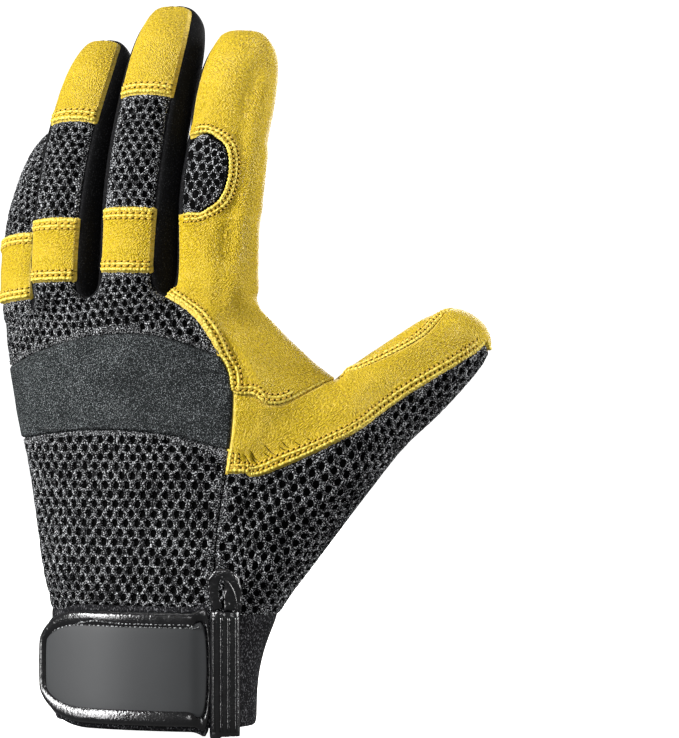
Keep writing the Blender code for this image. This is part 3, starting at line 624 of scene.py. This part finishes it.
def soft_noise(places, size, seed):
    """Smooth noise from -1 to 1 at flat places, from a few waves in set directions."""
    random = np.random.default_rng(seed)
    total = np.zeros(len(places))
    for octave in range(WAVE_OCTAVES):
        for _ in range(WAVES):
            angle, phase = random.uniform(0, 2 * math.pi, 2)
            wave = 2 * math.pi / (size * random.uniform(0.7, 1.5)) * 2**octave
            way = places[:, 0] * math.cos(angle) + places[:, 1] * math.sin(angle)
            total += np.sin(wave * way + phase) / 2**octave
    return total / WAVES


def unevenness(panel, edge, waves):
    """Soft waves in a panel, which fade towards its border."""
    return sum(
        height * soft_noise(panel.flat, size, seed) * smoothstep(*fade, edge)
        for height, size, seed, fade in waves
    )


def rolled_edge(distance, radius):
    """How far a sheet drops at a distance from its border, where its edge is turned over."""
    inside = np.clip(radius - distance, 0, radius)
    return (np.sqrt(radius**2 - inside**2) - radius) * ROLL_SHARE


def leather_heights(panel):
    """Relief of a leather panel: turned edges, puckered seams, valleys, creases and unevenness."""
    edge, _ = panel.from_border(panel.flat)
    heights = rolled_edge(edge, ROLL)
    x = panel.points[:, 0] / MM
    for wanted, seam in rows_of(panel):
        distance, along = panel.from_border(panel.flat, wanted)
        last = seam["rows"][-1]
        relief = seam["raised"] * (1 - smoothstep(last, last + SEAM_SLOPE, distance))
        for row in seam["rows"]:
            relief -= ROW_DEPTH * np.exp(-(((distance - row) / ROW_WIDTH) ** 2))
        puckers = np.cos(2 * math.pi * along / seam["stitch"])
        relief += PUCKER * puckers * np.exp(-(((distance - last / 2) / last) ** 2))
        heights += relief * (1 - smoothstep(seam["reach"] - SEAM_FADE, seam["reach"], x))
    heights += unevenness(panel, edge, LEATHER_WAVES)
    return heights - valleys(panel) - creases(panel) + swelling(panel)


def swelling(panel):
    """How far a panel swells where the middle and the index finger press on each other."""
    if panel.name not in ("index_leather", "middle_index_fourchette"):
        return np.zeros(len(panel.points))
    x, z = panel.points[:, 0] / MM, panel.points[:, 2] / MM
    window = smoothstep(*SWELL_Z[:2], z) * (1 - smoothstep(*SWELL_Z[2:], z))
    return SWELL * window * np.exp(-(((x - SWELL_X) / SWELL_WIDTH) ** 2))


def valleys(panel):
    """Depth of the panel's soft valleys, whose lines are drawn as seen from the back of the hand."""
    depths = np.zeros(len(panel.points))
    seen = panel.points[:, (0, 2)] / MM
    for name, depth, half_width, line in VALLEYS:
        if name == panel.name:
            starts = np.array(line[:-1], float)
            nearest, _, _ = to_stretches(seen, starts, np.array(line[1:]) - starts)
            shape = depth * np.exp(-((nearest / half_width) ** 2))
            depths = np.maximum(depths, shape * smoothstep(*VALLEY_FACING, panel.normals[:, 1]))
    return depths


def crease_lines(panel):
    """The creases over the stitches of the thumb's back: foot and way on the flat cut, length and depth."""
    if panel.name != "thumb_back_leather":
        return []
    border = panel.border()
    step = np.roll(border, -1, axis=0) - border
    lower = np.isin(panel.beside, ("thumb_mesh", "back_mesh"))
    from_middle = panel.points[panel.loop][:, 0] / MM
    found = []
    for foot_x, length, depth in CREASES:
        nearest = np.where(lower, abs(from_middle - foot_x), np.inf).argmin()
        along = step[nearest] / np.linalg.norm(step[nearest])
        foot = border[nearest] + left_of(along) * CREASE_FOOT
        found.append((foot, turned(along, math.radians(90 + CREASE_LEAN)), length, depth))
    return found


def creases(panel):
    """Depth of the panel's short creases."""
    depths = np.zeros(len(panel.points))
    for foot, way, length, depth in crease_lines(panel):
        away = panel.flat - foot
        up = away @ way
        sideways = away @ left_of(way) - CREASE_WAVE * np.sin(up)
        window = smoothstep(*CREASE_START, up) * (1 - smoothstep(0.5 * length, length, up))
        depths += CREASE_GAIN * depth * window * np.exp(-((sideways / CREASE_HALF_WIDTH) ** 2))
    return depths


def add_crease_shades(panel, shades):
    """The dark line in each of the panel's creases."""
    for foot, way, length, _ in crease_lines(panel):
        up = np.linspace(0.0, SHADE_PART * length, SHADE_POINTS)
        places = foot + np.outer(up, way) + np.outer(CREASE_WAVE * np.sin(up), left_of(way))
        centres, normals = panel.carry(places, np.full(len(up), SHADE_HEIGHT))
        girth = SHADE_GIRTH * MM * np.sin(math.pi * np.linspace(*SHADE_ENDS, len(up)))
        shades.add(*tube_along(centres, normals, girth, girth))


def runs(wanted):
    """The stretches of a closed border where wanted holds, each as a list of its edges in order."""
    count = len(wanted)
    if wanted.all():
        return [list(range(count))]
    first = next(i for i in range(count) if not wanted[i])
    found = []
    for step in range(1, count + 1):
        i = (first + step) % count
        if wanted[i]:
            if not found or found[-1][-1] != (i - 1) % count:
                found.append([])
            found[-1].append(i)
    return found


def inset_line(panel, run, inset, spacing):
    """Flat places along a stretch of border, drawn inwards, at about the spacing, clear of its ends."""
    border = panel.border()
    line = border[[*run, (run[-1] + 1) % len(border)]]
    for _ in range(LINE_ROUNDS):
        line[1:-1] = (line[:-2] + 2 * line[1:-1] + line[2:]) / 4
    line = line + left_of(unit(np.gradient(line, axis=0))) * inset
    length = lengths(line)
    if length[-1] < 3 * spacing:
        return np.empty((0, 2))
    count = max(1, round((length[-1] - 2 * LINE_CLEAR) / spacing))
    return places_at(line, length, np.linspace(LINE_CLEAR, length[-1] - LINE_CLEAR, count + 1))


def tube_along(centres, normals, widths, heights, sides=6):
    """Points and faces of a closed tube along centres, wide across and high along the normals."""
    sideways = unit(np.cross(unit(np.gradient(centres, axis=0)), normals))
    points, faces = [], []
    for angle in (2 * math.pi * k / sides for k in range(sides)):
        width, height = (widths * math.cos(angle))[:, None], (heights * math.sin(angle))[:, None]
        points.append(centres + sideways * width + normals * height)
    points = np.stack(points, axis=1).reshape(-1, 3)
    last = (len(centres) - 1) * sides
    for ring in range(0, last, sides):
        for k in range(sides):
            j = (k + 1) % sides
            faces.append((ring + k, ring + j, ring + sides + j, ring + sides + k))
    faces.append(tuple(range(sides - 1, -1, -1)))
    faces.append(tuple(range(last, last + sides)))
    return points, faces


class Gathered:
    """Points and faces of many small forms that become one piece."""

    def __init__(self):
        self.points, self.faces = [], []

    def add(self, points, faces):
        base = sum(len(part) for part in self.points)
        self.points.append(points)
        self.faces += [tuple(i + base for i in face) for face in faces]

    def made(self, name, material, slot):
        if self.faces:
            mesh_object(name, np.concatenate(self.points), self.faces, material)


def add_stitches(panel, row, threads, holes, pitch):
    """One row: a thread from each needle hole to the next, and at each place a dark slanted disc, painted
    shade for the hole.
    """
    if len(row) < 2:
        return
    shares = np.linspace(0, 1, THREAD_POINTS)
    arch = np.sin(math.pi * shares)
    gap = STITCH_GAP / pitch / 2
    for start, end in zip(row, row[1:]):
        places = start + (end - start) * (gap + (1 - 2 * gap) * shares)[:, None]
        centres, normals = panel.carry(places, THREAD_ARCH * arch + THREAD_REST)
        girth = THREAD * MM * (1 - THREAD_TAPER + THREAD_TAPER * arch)
        threads.add(*tube_along(centres, normals, girth, girth * FLATTENED))
    # A flat dark disc just over the surface: painted shade of the needle hole
    angles = np.arange(HOLE_CORNERS) * 2 * math.pi / HOLE_CORNERS
    for place, way in zip(row, unit(np.gradient(row, axis=0))):
        long_way = turned(way, math.radians(HOLE_SLANT))
        ring = place + HOLE_LENGTH * np.outer(np.cos(angles), long_way)
        ring += HOLE_WIDTH * np.outer(np.sin(angles), left_of(long_way))
        points, _ = panel.carry(np.concatenate((ring, [place])), np.full(HOLE_CORNERS + 1, HOLE_HEIGHT))
        holes.add(points, [(k, (k + 1) % HOLE_CORNERS, HOLE_CORNERS) for k in range(HOLE_CORNERS)])


def add_rim(panel, run, seam, rims, gaps):
    """The lumpy edge along a stretch of border, the ridge between its rows, and a dark tube of painted shade
    in the gap beside other leather.
    """
    ridge_inset = sum(seam["rows"]) / 2
    for inset, size, lump in ((RIM_INSET, RIM_GIRTH, RIM_LUMP), (ridge_inset, RIDGE_GIRTH, seam["stitch"])):
        line = inset_line(panel, run, inset, RIM_STEP)
        if len(line) < 4:
            return
        centres, normals = panel.carry(line, np.full(len(line), RIM_HEIGHT))
        if inset != RIM_INSET:
            sewn = centres[:, 0] < seam["reach"] * MM
            centres, normals = centres[sewn], normals[sewn]
        s = np.arange(len(centres)) * RIM_STEP
        drift = RIM_DRIFT * np.sin(s / RIM_DRIFT_LENGTH)
        girth = size * MM * (1 + RIM_LUMP_DEPTH * np.cos(2 * math.pi * s / lump + drift))
        girth[[0, -1]] *= RIM_END
        rims.add(*tube_along(centres, normals, girth, girth * FLATTENED, ROUND_CORNERS))
    # A dark tube sunk in the gap: painted shade where leather lies on leather
    if "thumb_back_leather" in seam["beside"]:
        line = inset_line(panel, run, GAP_INSET, GAP_STEP)
        centres, normals = panel.carry(line, np.full(len(line), GAP_HEIGHT))
        girth = np.full(len(line), GAP_GIRTH * MM)
        gaps.add(*tube_along(centres, normals, girth, girth))


def leather_panel(panel, looks):
    """Leather sheet with its stitches, turned edges and creases, and dark marks of painted shade in its needle
    holes, its gaps beside other leather and its creases.
    """
    heights = leather_heights(panel)
    sheet(panel, "skin", heights, looks[panel.look])
    panel.surface = panel.points + panel.normals * heights[:, None] * MM
    # holes gathers the painted shade: dark discs in the needle holes, dark tubes in the gaps and dark lines in
    # the creases
    threads, holes, rims = Gathered(), Gathered(), Gathered()
    for wanted, seam in rows_of(panel):
        for run in runs(wanted):
            for inset in seam["rows"]:
                line = inset_line(panel, run, inset, seam["stitch"])
                if len(line):
                    places, _ = panel.carry(line, np.zeros(len(line)))
                    line = line[places[:, 0] < seam["reach"] * MM]
                add_stitches(panel, line, threads, holes, seam["stitch"])
            add_rim(panel, run, seam, rims, holes)
    add_crease_shades(panel, holes)
    threads.made(f"{panel.name}_thread", looks["thread"], "leather")
    holes.made(f"{panel.name}_needle_holes", looks["shadow"], "leather")
    rims.made(f"{panel.name}_turned_edge", looks["turned_edge"], "leather")


def net_panel(panel, looks):
    """Vented cloth: a dark backing sheet under a knitted net with open holes."""
    sheet(panel, "backing", np.full(len(panel.points), -NET_DEPTH), looks["backing"])
    points, faces, heights = net_cells(panel, *(HAND_NET if panel.name in HAND_NETS else FINGER_NET))
    carried, _ = panel.carry(points, heights)
    net = mesh_object(f"{panel.name}_net", carried, faces, looks[panel.look], flat=points)
    bm = bmesh.new()
    bm.from_mesh(net.data)
    bmesh.ops.remove_doubles(bm, verts=bm.verts, dist=NET_WELD * MM)
    bmesh.ops.dissolve_degenerate(bm, edges=bm.edges, dist=NET_SLIVER * MM)
    bm.to_mesh(net.data)
    bm.free()
    loops = Gathered()
    for run in runs(panel.beside == "knuckle_band"):
        for inset in LOOP_ROWS:
            add_loops(panel, inset_line(panel, run, inset, LOOP_SPACING), loops)
    loops.made(f"{panel.name}_seam_loops", looks["strap_thread"], "mesh_cloth")


def add_loops(panel, line, loops):
    """Short slanting loops of pale thread along a line of flat places."""
    if len(line) < 2:
        return
    for k, (place, way) in enumerate(zip(line, unit(np.gradient(line, axis=0)))):
        slanting = turned(way, LOOP_SWAY * math.sin(LOOP_TURN * k) + LOOP_ANGLE)
        places = place + np.outer((-LOOP_HALF, 0.0, LOOP_HALF), slanting)
        centres, normals = panel.carry(places, (0.0, LOOP_HEIGHT, 0.0))
        girth = LOOP_GIRTH * MM * np.array((0.5, 1.0, 0.5))
        loops.add(*tube_along(centres, normals, girth, girth))


def net_cells(panel, pitch, row, half_width, half_height):
    """Flat places, faces and heights of a net: six-sided cells round staggered holes."""
    half = pitch / 2
    low, high = (row**2 - pitch**2 / 4) / (2 * row), (row**2 + pitch**2 / 4) / (2 * row)
    corners = np.array([(half, -low), (half, low), (0, high), (-half, low), (-half, -low), (0, -high)])
    hexagon = np.stack((corners, (corners + np.roll(corners, -1, axis=0)) / 2), axis=1).reshape(-1, 2)
    angles = np.arctan2(hexagon[:, 1], hexagon[:, 0])
    oval = np.stack((np.cos(angles) * half_width, np.sin(angles) * half_height), axis=1)
    rings = [hexagon + (oval - hexagon) * share for share, _ in NET_RINGS]
    minimum, maximum = panel.flat.min(axis=0) - pitch, panel.flat.max(axis=0) + pitch
    centres = np.array([
        (minimum[0] + (i + 0.5 * (j % 2)) * pitch, minimum[1] + j * row)
        for j in range(int((maximum[1] - minimum[1]) / row) + 1)
        for i in range(int((maximum[0] - minimum[0]) / pitch) + 1)
    ])
    inside = covers(panel, centres)
    distance, _ = panel.from_border(centres)
    open_cells = inside & (distance > NET_MARGIN)
    kept = inside | (distance < high)
    random = np.random.default_rng(NET_SEED)
    points, faces, heights = [], [], []
    count = len(hexagon)
    for centre, is_open in zip(centres[kept], open_cells[kept]):
        base = len(points)
        stray = random.normal(0, NET_STRAY, (len(rings), count, 2))
        for level, (ring, (_, height)) in enumerate(zip(rings, NET_RINGS)):
            filled = not is_open and level >= KEPT_RINGS
            moved = stray[level] if 0 < level < len(rings) - 1 else 0
            points.extend(centre + ring * FILL_SHARE if filled else ring + centre + moved)
            heights.extend([FILL_HEIGHT if filled else height] * count)
        last = base + (len(rings) - 1) * count
        for a in range(base, last, count):
            for k in range(count):
                j = (k + 1) % count
                faces.append((a + k, a + j, a + count + j, a + count + k))
        if not is_open:
            faces.append(tuple(range(last, last + count)))
    points, heights = np.array(points), np.array(heights)
    height, size, seed = NET_WAVES
    heights += height * soft_noise(points, size, seed) * (heights > -0.1)
    edge, _ = panel.from_border(points)
    edge[~covers(panel, points)] = 0.0
    heights -= NET_SINK * (1 - smoothstep(0.0, NET_SINK_REACH, edge)) * (heights > -0.5)
    return points, faces, heights


def covers(panel, places):
    """Whether flat places lie within the panel's border, by counting the border's crossings."""
    a = panel.border()
    b = np.roll(a, -1, axis=0)
    inside = np.zeros(len(places), bool)
    for (x0, y0), (x1, y1) in zip(a, b):
        if y0 == y1:
            continue
        crosses = (y0 > places[:, 1]) != (y1 > places[:, 1])
        inside ^= crosses & (places[:, 0] < x0 + (places[:, 1] - y0) * (x1 - x0) / (y1 - y0))
    return inside


def cloth_panel(panel, looks):
    """Plain stretch cloth with turned edges."""
    edge, _ = panel.from_border(panel.flat)
    heights = rolled_edge(edge, CLOTH_ROLL) + unevenness(panel, edge, CLOTH_WAVES) + swelling(panel)
    sheet(panel, "cloth", heights, looks[panel.look])


class Graph:
    """A material's nodes, added by type with their inputs given by name."""

    def __init__(self, name):
        self.material = bpy.data.materials.new(name)
        self.material.use_nodes = True
        self.nodes, self.links = self.material.node_tree.nodes, self.material.node_tree.links
        self.shader = self.nodes["Principled BSDF"]

    def set(self, node, inputs):
        for key, value in inputs.items():
            socket = node.inputs[key]
            if isinstance(value, bpy.types.NodeSocket):
                self.links.new(value, socket)
            else:
                socket.default_value = value
        return node

    def add(self, kind, inputs=None, **settings):
        node = self.nodes.new(f"ShaderNode{kind}")
        for key, value in settings.items():
            setattr(node, key, value)
        return self.set(node, inputs or {})

    def math(self, operation, a, b):
        return self.add("Math", {0: a, 1: b}, operation=operation).outputs[0]

    def flat(self, length, width, angle=0.0):
        """Places on the flat cut, in marks of that length and width in millimetres, lying at an angle."""
        place = self.add("UVMap", uv_map="flat").outputs["UV"]
        inputs = {"Vector": place, "Rotation": (0, 0, math.radians(angle)), "Scale": (length, width, 1)}
        return self.add("Mapping", inputs, vector_type="TEXTURE").outputs["Vector"]

    def solid(self, size, height=None):
        """Places in space, in marks of that size in millimetres, and of another height where it is given."""
        place = self.add("TexCoord").outputs["Object"]
        scale = (1 / (size * MM), 1 / (size * MM), 1 / ((height or size) * MM))
        return self.add("VectorMath", {0: place, 1: scale}, operation="MULTIPLY").outputs[0]

    def noise(self, vector, detail=2.0, roughness=0.5):
        inputs = {"Vector": vector, "Scale": 1.0, "Detail": detail, "Roughness": roughness}
        return self.add("TexNoise", inputs).outputs["Fac"]

    def between(self, value, low, high, bottom=0.0, top=1.0):
        """value, spread from low..high to bottom..top and held there."""
        inputs = {"Value": value, "From Min": low, "From Max": high, "To Min": bottom, "To Max": top}
        return self.add("MapRange", inputs).outputs["Result"]

    def mix(self, share, a, b):
        node = self.add("Mix", data_type="RGBA")
        for socket, value in ((node.inputs[0], share), (node.inputs[6], a), (node.inputs[7], b)):
            if isinstance(value, bpy.types.NodeSocket):
                self.links.new(value, socket)
            else:
                socket.default_value = (*value, 1.0) if isinstance(value, tuple) else value
        return node.outputs[2]

    def bump(self, height, strength, distance, normal=None):
        inputs = {"Height": height, "Strength": strength, "Distance": distance}
        if normal is not None:
            inputs["Normal"] = normal
        return self.add("Bump", inputs).outputs["Normal"]

    def finish(self, **inputs):
        named = {key.replace("_", " "): value for key, value in inputs.items()}
        self.set(self.shader, named)
        return self.material


def leather_look():
    """Yellow goatskin: fine slanting grain whose direction wanders, uneven dye, and pale rubbed edges."""
    graph = Graph("leather")
    wander = graph.between(graph.noise(graph.flat(26, 26), 1.0), 0.44, 0.58)
    rising = graph.noise(graph.flat(0.92, 0.40, 35.0), 1.0)
    falling = graph.noise(graph.flat(0.92, 0.40, -48.0), 1.0)
    grain = graph.mix(wander, rising, falling)
    pebble = graph.noise(graph.flat(0.5, 0.5), 1.0)
    patchy = graph.noise(graph.flat(11, 16))
    dye = graph.mix(graph.between(grain, 0.38, 0.58), (0.45, 0.285, 0.002), (0.71, 0.50, 0.009))
    dye = graph.mix(graph.between(patchy, 0.35, 0.7, 0.0, 0.18), dye, (0.74, 0.56, 0.04))
    edge = graph.add("Attribute", attribute_name="edge").outputs["Fac"]
    spots = graph.between(pebble, 0.35, 0.6, 0.35, 1.0)
    rubbed = graph.math("MULTIPLY", graph.between(edge, 0.25, 1.0, 1.0, 0.0), spots)
    colour = graph.mix(rubbed, dye, (0.88, 0.66, 0.13))
    height = graph.math("ADD", grain, graph.math("MULTIPLY", pebble, 0.35))
    normal = graph.bump(height, 1.0, 0.00095)
    rough = graph.between(grain, 0.35, 0.65, 0.48, 0.34)
    return graph.finish(Base_Color=colour, Roughness=rough, Normal=normal, Specular_IOR_Level=0.4)


def lumpy_look(name, size, low, high, dark, pale, roughness, bump, depth):
    """Small lumps, dark between them."""
    graph = Graph(name)
    lumps = graph.noise(graph.solid(size))
    colour = graph.mix(graph.between(lumps, low, high), dark, pale)
    return graph.finish(Base_Color=colour, Roughness=roughness, Normal=graph.bump(lumps, bump, depth))


def shadow_look():
    """Painted shade: the dark of the needle holes, of the gaps where leather lies on leather and of the
    creases.
    """
    graph = Graph("shadow")
    colour = graph.mix(graph.noise(graph.solid(0.5), 1.0), (0.016, 0.008, 0.001), (0.04, 0.02, 0.003))
    return graph.finish(Base_Color=colour, Roughness=0.9, Specular_IOR_Level=0.1)


def speckled_look(
    name, dark, pale, size, share, bump, height=None, roughness=0.8, specular=0.12, spread=0.09,
):
    """Black cloth with pale flecks in its colour, here and there. On the net's yarn these flecks are painted
    glints, standing in for filaments that catch the light.
    """
    graph = Graph(name)
    fleck = graph.noise(graph.solid(size, height), 2.0, 0.6)
    cloudy = graph.noise(graph.solid(9.0))
    level = graph.math("ADD", fleck, graph.math("MULTIPLY", graph.math("SUBTRACT", cloudy, 0.5), 0.08))
    colour = graph.mix(graph.between(level, share, share + spread), dark, pale)
    normal = graph.bump(fleck, bump, 0.00025)
    return graph.finish(Base_Color=colour, Roughness=roughness, Normal=normal, Specular_IOR_Level=specular)


def trim_look(name, crumple):
    """Glossy black synthetic leather with a pebble, creased where it is crumpled."""
    graph = Graph(name)
    worn = graph.noise(graph.solid(6.0), 3.0)
    rough = graph.between(worn, 0.3, 0.7, 0.15, 0.28)
    colour = graph.mix(worn, (0.0015, 0.0015, 0.002), (0.004, 0.004, 0.005))
    normal = graph.bump(graph.noise(graph.solid(3.2), 2.0, 0.6), crumple, 0.0012)
    normal = graph.bump(graph.noise(graph.solid(0.75)), 0.5, 0.00025, normal)
    return graph.finish(Base_Color=colour, Roughness=rough, Normal=normal, Specular_IOR_Level=1.0)


def rubber_look():
    """Matt moulded rubber with a fine, dusty surface."""
    graph = Graph("rubber")
    colour = graph.mix(graph.noise(graph.solid(14.0), 3.0), (0.024, 0.0255, 0.027), (0.031, 0.033, 0.035))
    normal = graph.bump(graph.noise(graph.solid(0.4)), 0.15, 0.0001)
    return graph.finish(Base_Color=colour, Roughness=0.50, Normal=normal, Specular_IOR_Level=0.5)


# Speckled cloths: dark and pale colour, size of the flecks, level over which they are pale, and bump
SPECKLED = {
    # The yarn's near-white flecks are painted glints on its dark filaments
    "yarn": (
        (0.0015, 0.0015, 0.002), (0.95, 0.97, 1.0), 0.42, 0.55, 0.9,
        {"roughness": 0.5, "specular": 0.06, "spread": 0.16},
    ),
    "backing": ((0.0006, 0.0006, 0.0006), (0.008, 0.008, 0.009), 0.6, 0.58, 0.3, {"specular": 0.03}),
    "neoprene": ((0.009, 0.0105, 0.011), (0.36, 0.39, 0.40), 0.30, 0.565, 0.5, {"spread": 0.12}),
    "spandex": ((0.003, 0.003, 0.0035), (0.03, 0.03, 0.033), 0.45, 0.58, 0.4, {}),
    "elastic": ((0.004, 0.004, 0.005), (0.16, 0.16, 0.17), 0.36, 0.57, 0.6, {"height": 0.8}),
    "strap_thread": ((0.05, 0.05, 0.05), (0.60, 0.61, 0.62), 0.5, 0.5, 0.4, {}),
    "hook": ((0.006, 0.006, 0.006), (0.09, 0.09, 0.09), 0.8, 0.52, 1.0, {}),
}


def make_looks():
    looks = {
        "leather": leather_look(),
        "thread": lumpy_look(
            "thread", 0.29, 0.35, 0.65, (0.48, 0.27, 0.012), (0.88, 0.62, 0.08), 0.5, 0.4, 0.0001,
        ),
        "turned_edge": lumpy_look(
            "turned_edge", 0.75, 0.38, 0.56, (0.50, 0.33, 0.006), (0.95, 0.78, 0.13), 0.45, 0.9, 0.0004,
        ),
        "shadow": shadow_look(),
        "trim": trim_look("trim", 0.12),
        "crumpled": trim_look("crumpled", 0.8),
        "rubber": rubber_look(),
    }
    for name, (*values, others) in SPECKLED.items():
        looks[name] = speckled_look(name, *values, **others)
    return looks


# Piping: cords at shares of the binding's width, and one along X and Z on the pull loop
BINDING_CORDS = (0.10, 0.37, 0.63, 0.90)
BINDING_CORD_END = 1.2
BINDING_POINTS = 30
BINDING_SINK = 0.1
PIPING = 0.55
LOOP_PIPING = (
    (17.6, 46.0), (17.8, 48.6), (20.0, 50.2), (23.6, 48.6), (26.6, 44.8), (27.6, 40.5), (27.6, 36.5),
)
LOOP_POINTS = 40
LOOP_SINK = 0.05

# The stitches of the strap's border
STRAP_STITCH = 1.7
STRAP_STITCH_OUT = 0.9
STRAP_THREAD = 0.22
STRAP_TAPER = (0.55, 1.0, 1.0, 0.55)
STRAP_STITCH_PART = (0.14, 0.86)
STRAP_STITCH_HEIGHT = 0.05
STRAP_STITCH_CLEAR = 2.5

# Y in metres from which lines are drawn on the closure, or near which their place is sought
DRAW_FROM = -0.1
DRAW_NEAR = -0.03

# How far the strap's pieces dive towards the slit at their right end, and between which X
DIVES = {"strap_border": 1.9, "strap_plate": 0.5}
DIVE_RUN = (12.5, 16.5)

# Pieces that are smoothed copies of their solids: node, material and record slot
ROUNDED = (
    ("cuff", "elastic", "elastic"),
    ("strap", "elastic", "elastic"),
    ("strap_border", "trim", "trim"),
    ("strap_plate", "rubber", "strap_plate"),
    ("hook_tape", "hook", "hook_tape"),
    ("slit_binding", "trim", "trim"),
    ("pull_loop", "crumpled", "trim"),
)


def rounded_piece(node, look, slot, looks):
    """A smoothed copy of a solid."""
    mesh = as_quads(solid_mesh(node), f"{node}_form")
    points, faces, _ = smoothed(mesh, 2, False, ROUNDED_FIT_ROUNDS)
    points[:, 1] += DIVES.get(node, 0.0) * MM * smoothstep(*DIVE_RUN, points[:, 0] / MM)
    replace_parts(mesh_object(f"{node}_form", points, faces, looks[look]), node)


def drawn_on(tree, line, sink):
    """Places and normals on a solid under a line of X and Z, drawn from the back and sunk into it."""
    places, normals = [], []
    for x, z in line:
        place, normal, _, _ = tree.ray_cast(Vector((x, DRAW_FROM, z)), Vector((0, 1, 0)))
        if place is None:
            place, normal, _, _ = tree.find_nearest(Vector((x, DRAW_NEAR, z)))
        places.append(np.array(place - normal * sink))
        normals.append(np.array(normal))
    return np.array(places), np.array(normals)


def smooth_line(points, count):
    """Evenly spaced places along a line through the points, with its corners rounded."""
    line = np.array(points, float)
    for _ in range(3):
        cut = np.stack((line[:-1] * 0.75 + line[1:] * 0.25, line[:-1] * 0.25 + line[1:] * 0.75), axis=1)
        line = np.concatenate((line[:1], cut.reshape(-1, line.shape[1]), line[-1:]))
    length = lengths(line)
    return places_at(line, length, np.linspace(0, length[-1], count))


def piping(looks):
    """Thin glossy piping: upright on the slit's binding, and round the pull loop."""
    low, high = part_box("slit_binding")
    heights = np.linspace(low[2] + BINDING_CORD_END * MM, high[2] - BINDING_CORD_END * MM, BINDING_POINTS)
    cords = Gathered()
    upright = [[(low[0] + (high[0] - low[0]) * share, z) for z in heights] for share in BINDING_CORDS]
    loop = smooth_line(LOOP_PIPING, LOOP_POINTS) * MM
    for node, sink, lines in (("slit_binding", BINDING_SINK, upright), ("pull_loop", LOOP_SINK, [loop])):
        tree = solid_tree(node)
        for line in lines:
            places, normals = drawn_on(tree, line, sink * MM)
            girth = np.full(len(places), PIPING * MM)
            cords.add(*tube_along(places, normals, girth, girth, ROUND_CORNERS))
    cords.made("binding_piping", looks["trim"], "trim")


def strap_stitching(looks):
    """The row of stitches along the inner edge of the strap's border."""
    points, faces, _ = smoothed(outer_face("strap_plate"), 1, False, 1)
    loop = np.array(max(border_loops(faces), key=len))
    ring = points[loop]
    ring = ring + outward(ring, point_normals(points, in_threes(faces))[loop]) * STRAP_STITCH_OUT * MM
    closed = np.concatenate((ring, ring[:1]))
    length = lengths(closed) / MM
    count = round(length[-1] / STRAP_STITCH)
    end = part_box("slit_binding")[0][0] - STRAP_STITCH_CLEAR * MM
    tree = solid_tree("strap_border")
    threads = Gathered()
    for k in range(count):
        at = (k + np.linspace(*STRAP_STITCH_PART, len(STRAP_TAPER))) * length[-1] / count
        places = places_at(closed, length, at)
        if places[:, 0].max() > end:
            continue
        places, lifts = drawn_on(tree, places[:, (0, 2)], -STRAP_STITCH_HEIGHT * MM)
        girth = np.array(STRAP_TAPER) * STRAP_THREAD * MM
        threads.add(*tube_along(places, lifts, girth, girth))
    threads.made("strap_stitches", looks["strap_thread"], "trim")


MAKERS = {"leather": leather_panel, "net": net_panel, "cloth": cloth_panel}


def stage():
    """A plain pale floor under the glove, in a white surround that looks the same from every side."""
    graph = Graph("paper")
    colour = graph.mix(graph.noise(graph.solid(250.0)), (0.93, 0.93, 0.93), (0.96, 0.96, 0.96))
    glow = {"Emission_Color": (1, 1, 1, 1), "Emission_Strength": 1.0}
    white = graph.finish(Base_Color=colour, Roughness=0.9, **glow)
    for name in ("floor", "surround"):
        bm = bmesh.new()
        if name == "floor":
            bmesh.ops.create_circle(bm, cap_ends=True, segments=96, radius=SURROUND)
            bmesh.ops.translate(bm, verts=bm.verts, vec=(0, 0, FLOOR))
        else:
            bmesh.ops.create_uvsphere(bm, u_segments=64, v_segments=32, radius=SURROUND)
        mesh = bpy.data.meshes.new(name)
        bm.to_mesh(mesh)
        bm.free()
        mesh.materials.append(white)
        obj = bpy.data.objects.new(name, mesh)
        bpy.context.scene.collection.objects.link(obj)
        obj.visible_diffuse = obj.visible_glossy = obj.visible_shadow = False


def area_light(name, place, target, size, power):
    light = bpy.data.lights.new(name, "AREA")
    light.shape, light.size, light.size_y, light.energy = "RECTANGLE", size[0], size[1], power
    obj = bpy.data.objects.new(name, light)
    bpy.context.scene.collection.objects.link(obj)
    obj.location = place
    obj.rotation_euler = (Vector(target) - Vector(place)).to_track_quat("-Z", "Y").to_euler()


def camera_and_light():
    scene = bpy.context.scene
    camera = bpy.data.cameras.new("camera")
    camera.sensor_fit, camera.sensor_height, camera.lens = "VERTICAL", SENSOR, CAMERA_LENS
    obj = bpy.data.objects.new("camera", camera)
    obj.location, obj.rotation_euler = CAMERA_PLACE, (math.radians(90), 0, 0)
    scene.collection.objects.link(obj)
    scene.camera = obj
    scene.view_settings.view_transform = "Standard"
    world = bpy.data.worlds.new("studio")
    scene.world = world
    world.use_nodes = True
    background = world.node_tree.nodes["Background"]
    background.inputs["Color"].default_value = (1, 1, 1, 1)
    background.inputs["Strength"].default_value = WORLD
    for name, place, size, power in LAMPS:
        area_light(name, place, AIM, size, power)


def main():
    camera_and_light()
    stage()
    looks = make_looks()
    panels = {}
    for (kind, look), levels_of in PANELS.items():
        for name, levels in levels_of.items():
            panels[name] = Panel(name, kind, look, levels)
    name_neighbours(panels)
    for panel in panels.values():
        MAKERS[panel.kind](panel, looks)
    for values in ROUNDED:
        rounded_piece(*values, looks)
    piping(looks)
    strap_stitching(looks)


main()
